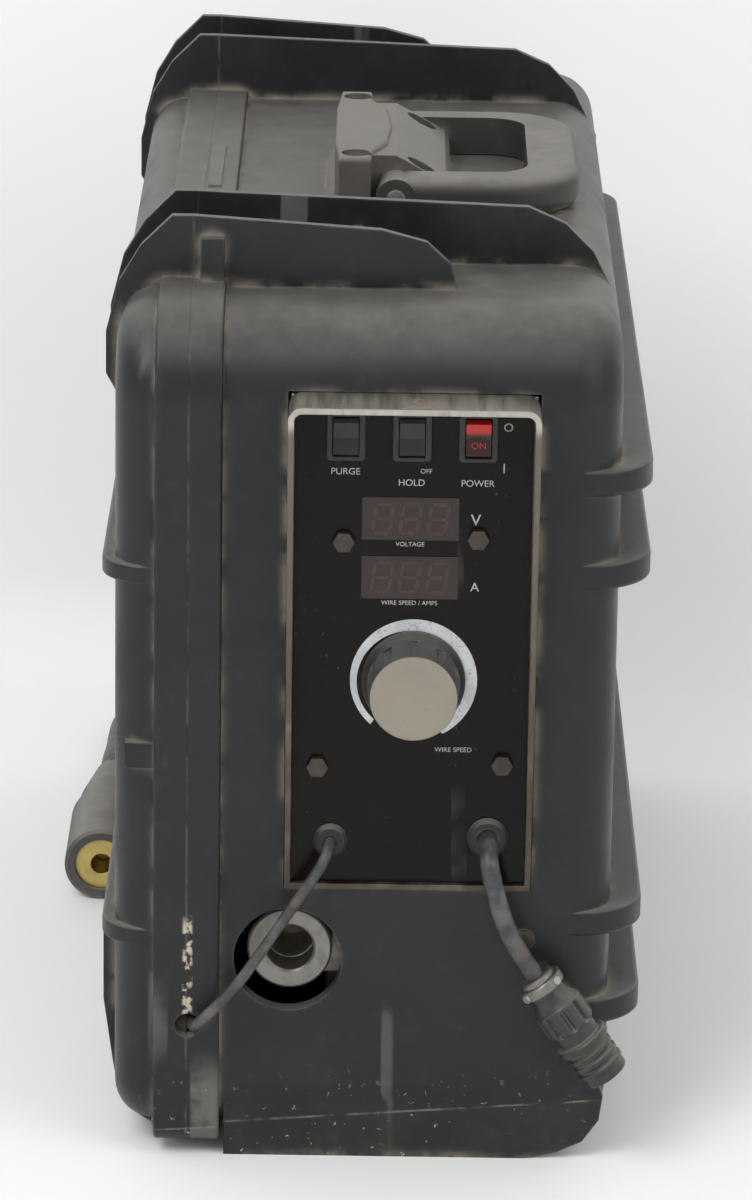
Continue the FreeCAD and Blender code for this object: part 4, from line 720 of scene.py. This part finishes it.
def speed_arc(shape, centre, front):
    """Crescent round the speed knob, growing clockwise from nothing at the lower left."""
    steps = 60
    outer, inner = [], []
    for i in range(steps + 1):
        angle = ARC_START + (ARC_END - ARC_START) * i / steps
        x, z = math.cos(angle), math.sin(angle)
        outer.append((centre[0] + ARC_OUTER * x, centre[1] + ARC_OUTER * z))
        inner.append(
            (
                centre[0] + ARC_OFFSET[0] + ARC_INNER * x,
                centre[1] + ARC_OFFSET[1] + ARC_INNER * z,
            )
        )
    for i in range(steps):
        flat_prism(shape, [outer[i], inner[i], inner[i + 1], outer[i + 1]], front, MARK_THICK)


SEGMENT_SLANT = 0.14
DIGIT_WIDE = 7.2
DIGIT_HIGH = 12.5
SEGMENT_THICK = 1.5
SEGMENT_GAP = 0.35
DIGIT_PITCH = 11.5


def seven_segments(shape, x, z, front):
    """One figure eight of seven bars, centred at (x, z)."""
    half, tall = DIGIT_WIDE / 2, DIGIT_HIGH / 2
    bar = SEGMENT_THICK / 2
    gap = SEGMENT_GAP
    levels = [(-tall, 0), (0, 0), (tall, 0)]
    bars = [(-half + gap, half - gap, level, level) for level, _ in levels]
    for side in (-half, half):
        for low, high in ((-tall + gap, -gap), (gap, tall - gap)):
            bars.append((side, side, low, high))
    for x0, x1, z0, z1 in bars:
        if z0 == z1:
            outline = [
                (x0, z0), (x0 + bar, z0 - bar), (x1 - bar, z0 - bar),
                (x1, z0), (x1 - bar, z0 + bar), (x0 + bar, z0 + bar),
            ]
        else:
            outline = [
                (x0, z0), (x0 + bar, z0 + bar), (x0 + bar, z1 - bar),
                (x0, z1), (x0 - bar, z1 - bar), (x0 - bar, z0 + bar),
            ]
        leaned = [(x + a + SEGMENT_SLANT * b, z + b) for a, b in outline]
        flat_prism(shape, leaned, front, 0.05)


def panel_marks():
    ink = print_paint("ink_white", (0.42, 0.42, 0.42))
    white = print_paint("arc_white", (0.60, 0.62, 0.64))
    dim = print_paint("segments_unlit", (0.045, 0.020, 0.014))
    glow = print_paint("rocker_letters", (0.40, 0.03, 0.02))
    face = corners_mm("panel_label")[0].y - MARK_LIFT
    knob = centre_mm("speed_knob")
    mesh_piece(
        "speed_arc", lambda shape: speed_arc(shape, (knob.x, knob.z), face),
        "case", white,
    )
    words = []
    for node, text in (("purge_rocker", "PURGE"), ("hold_rocker", "HOLD"), ("power_rocker", "POWER")):
        middle = centre_mm(node)
        low = corners_mm(node)[0].z
        drop = 7.5 if node == "purge_rocker" else 12
        words.append((text, middle.x, low - drop, 4.0))
    hold = centre_mm("hold_rocker")
    words.append(("OFF", hold.x + 6, corners_mm("hold_rocker")[0].z - 7, 2.8))
    power_low, power_high = corners_mm("power_rocker")
    words.append(("O", power_high.x + 7, power_high.z - 3.5, 5.0))
    words.append(("I", power_high.x + 5.5, power_low.z - 5.5, 6.0))
    volts = centre_mm("voltage_display")
    speed = centre_mm("speed_display")
    volts_low, volts_high = corners_mm("voltage_display")
    speed_low = corners_mm("speed_display")[0]
    words.append(("V", volts_high.x + 7, volts.z - 0.5, 7.0))
    words.append(("A", volts_high.x + 7, speed.z - 4, 5.5))
    words.append(("VOLTAGE", volts.x, volts_low.z - 1.9, 2.7))
    words.append(("WIRE SPEED / AMPS", speed.x, speed_low.z - 1.9, 2.7))
    words.append(("WIRE SPEED", knob.x + 17, knob.z - 30.5, 2.9))
    for i, (text, x, z, size) in enumerate(words):
        lettering(f"word_{i}", text, x, z, face, size, "case", ink)
    rocker_face = power_low.y - 0.05
    lettering(
        "word_on", "ON", (power_low.x + power_high.x) / 2, power_low.z + 5.5,
        rocker_face, 4.0, "power_rocker", glow,
    )
    for node in ("voltage_display", "speed_display"):
        low, high = corners_mm(node)
        middle = (low + high) / 2

        def digits(shape, low=low, middle=middle):
            for step in (-1, 0, 1):
                seven_segments(shape, middle.x + step * DIGIT_PITCH, middle.z, low.y - 0.06)

        mesh_piece(node + "_digits", digits, "case", dim)


# ---------------------------------------------------------------- stage

FLOOR_EDGE = 0.385
SWEEP_RADIUS = 0.05
STAGE_HALF = 6.0
WORLD_STRENGTH = 0.72
LAMPS = [
    ("key", (-1.4, -2.0, 2.6), (0, 0, 0.2), (1.6, 1.6), 48),
    ("fill", (2.2, -1.8, 1.6), (0, 0, 0.2), (1.6, 1.6), 16),
    ("back", (0.3, 1.2, 2.6), (0, 0, 0.3), (1.6, 1.0), 14),
]


def make_stage():
    """Floor and backdrop in one sweep behind the feeder."""
    paint = Paint("stage", (0.93, 0.93, 0.93), 0.9)
    paint.tint(paint.blotch(1.5, 0.35, 0.7), (0.91, 0.91, 0.905))
    paint.tint(paint.fade(paint.axes["Z"], 0.01, 0.12), (0.91, 0.905, 0.89))
    material = paint.done(0)
    profile = [(-STAGE_HALF, 0.0), (FLOOR_EDGE, 0.0)]
    for i in range(1, 17):
        angle = math.pi / 2 * i / 16
        profile.append(
            (FLOOR_EDGE + SWEEP_RADIUS * math.sin(angle), SWEEP_RADIUS * (1 - math.cos(angle)))
        )
    profile.append((FLOOR_EDGE + SWEEP_RADIUS, STAGE_HALF))
    floor_z = CAD_BOX[0].z
    data = bpy.data.meshes.new("stage")
    shape = bmesh.new()
    rows = [
        [shape.verts.new((x, y, z + floor_z)) for x in (-STAGE_HALF, STAGE_HALF)]
        for y, z in profile
    ]
    for near, far in zip(rows, rows[1:]):
        face = shape.faces.new((near[0], near[1], far[1], far[0]))
        face.smooth = True
    shape.to_mesh(data)
    shape.free()
    data.materials.append(material)
    piece = link(bpy.data.objects.new("stage", data))


def lamp(name, place, target, size, power):
    data = bpy.data.lights.new(name, "AREA")
    data.shape = "RECTANGLE"
    data.size, data.size_y = size
    data.energy = power
    piece = link(bpy.data.objects.new(name, data))
    piece.location = place
    piece.rotation_euler = (Vector(target) - Vector(place)).to_track_quat("-Z", "Y").to_euler()


def make_light():
    world = bpy.data.worlds.new("world")
    bpy.context.scene.world = world
    world.use_nodes = True
    background = world.node_tree.nodes["Background"]
    background.inputs["Color"].default_value = (1.0, 1.0, 1.0, 1.0)
    background.inputs["Strength"].default_value = WORLD_STRENGTH
    for settings in LAMPS:
        lamp(*settings)


def main():
    make_camera()
    made = paints()
    dress_nodes(made)
    sense = make_cord("sense_lead", SENSE_ROUTE, 4.6)
    trigger = make_cord("trigger_cable", TRIGGER_ROUTE, 8, plug_shells(made))
    weld_end = [frame["nodes"][node] for node in ("connector_boot", "connector_contact")]
    weld = make_cord("weld_cable", WELD_ROUTE, 14, weld_end)
    for cord, slot in ((sense, "cable_grey"), (trigger, "cable_grey"), (weld, "cable_black")):
        cord.data.materials.append(made[slot])
    knob_face(made)
    gun_nose(made)
    panel_marks()
    make_stage()
    make_light()
    bpy.context.scene.view_settings.view_transform = "Standard"


main()
bpy.context.view_layer.update()
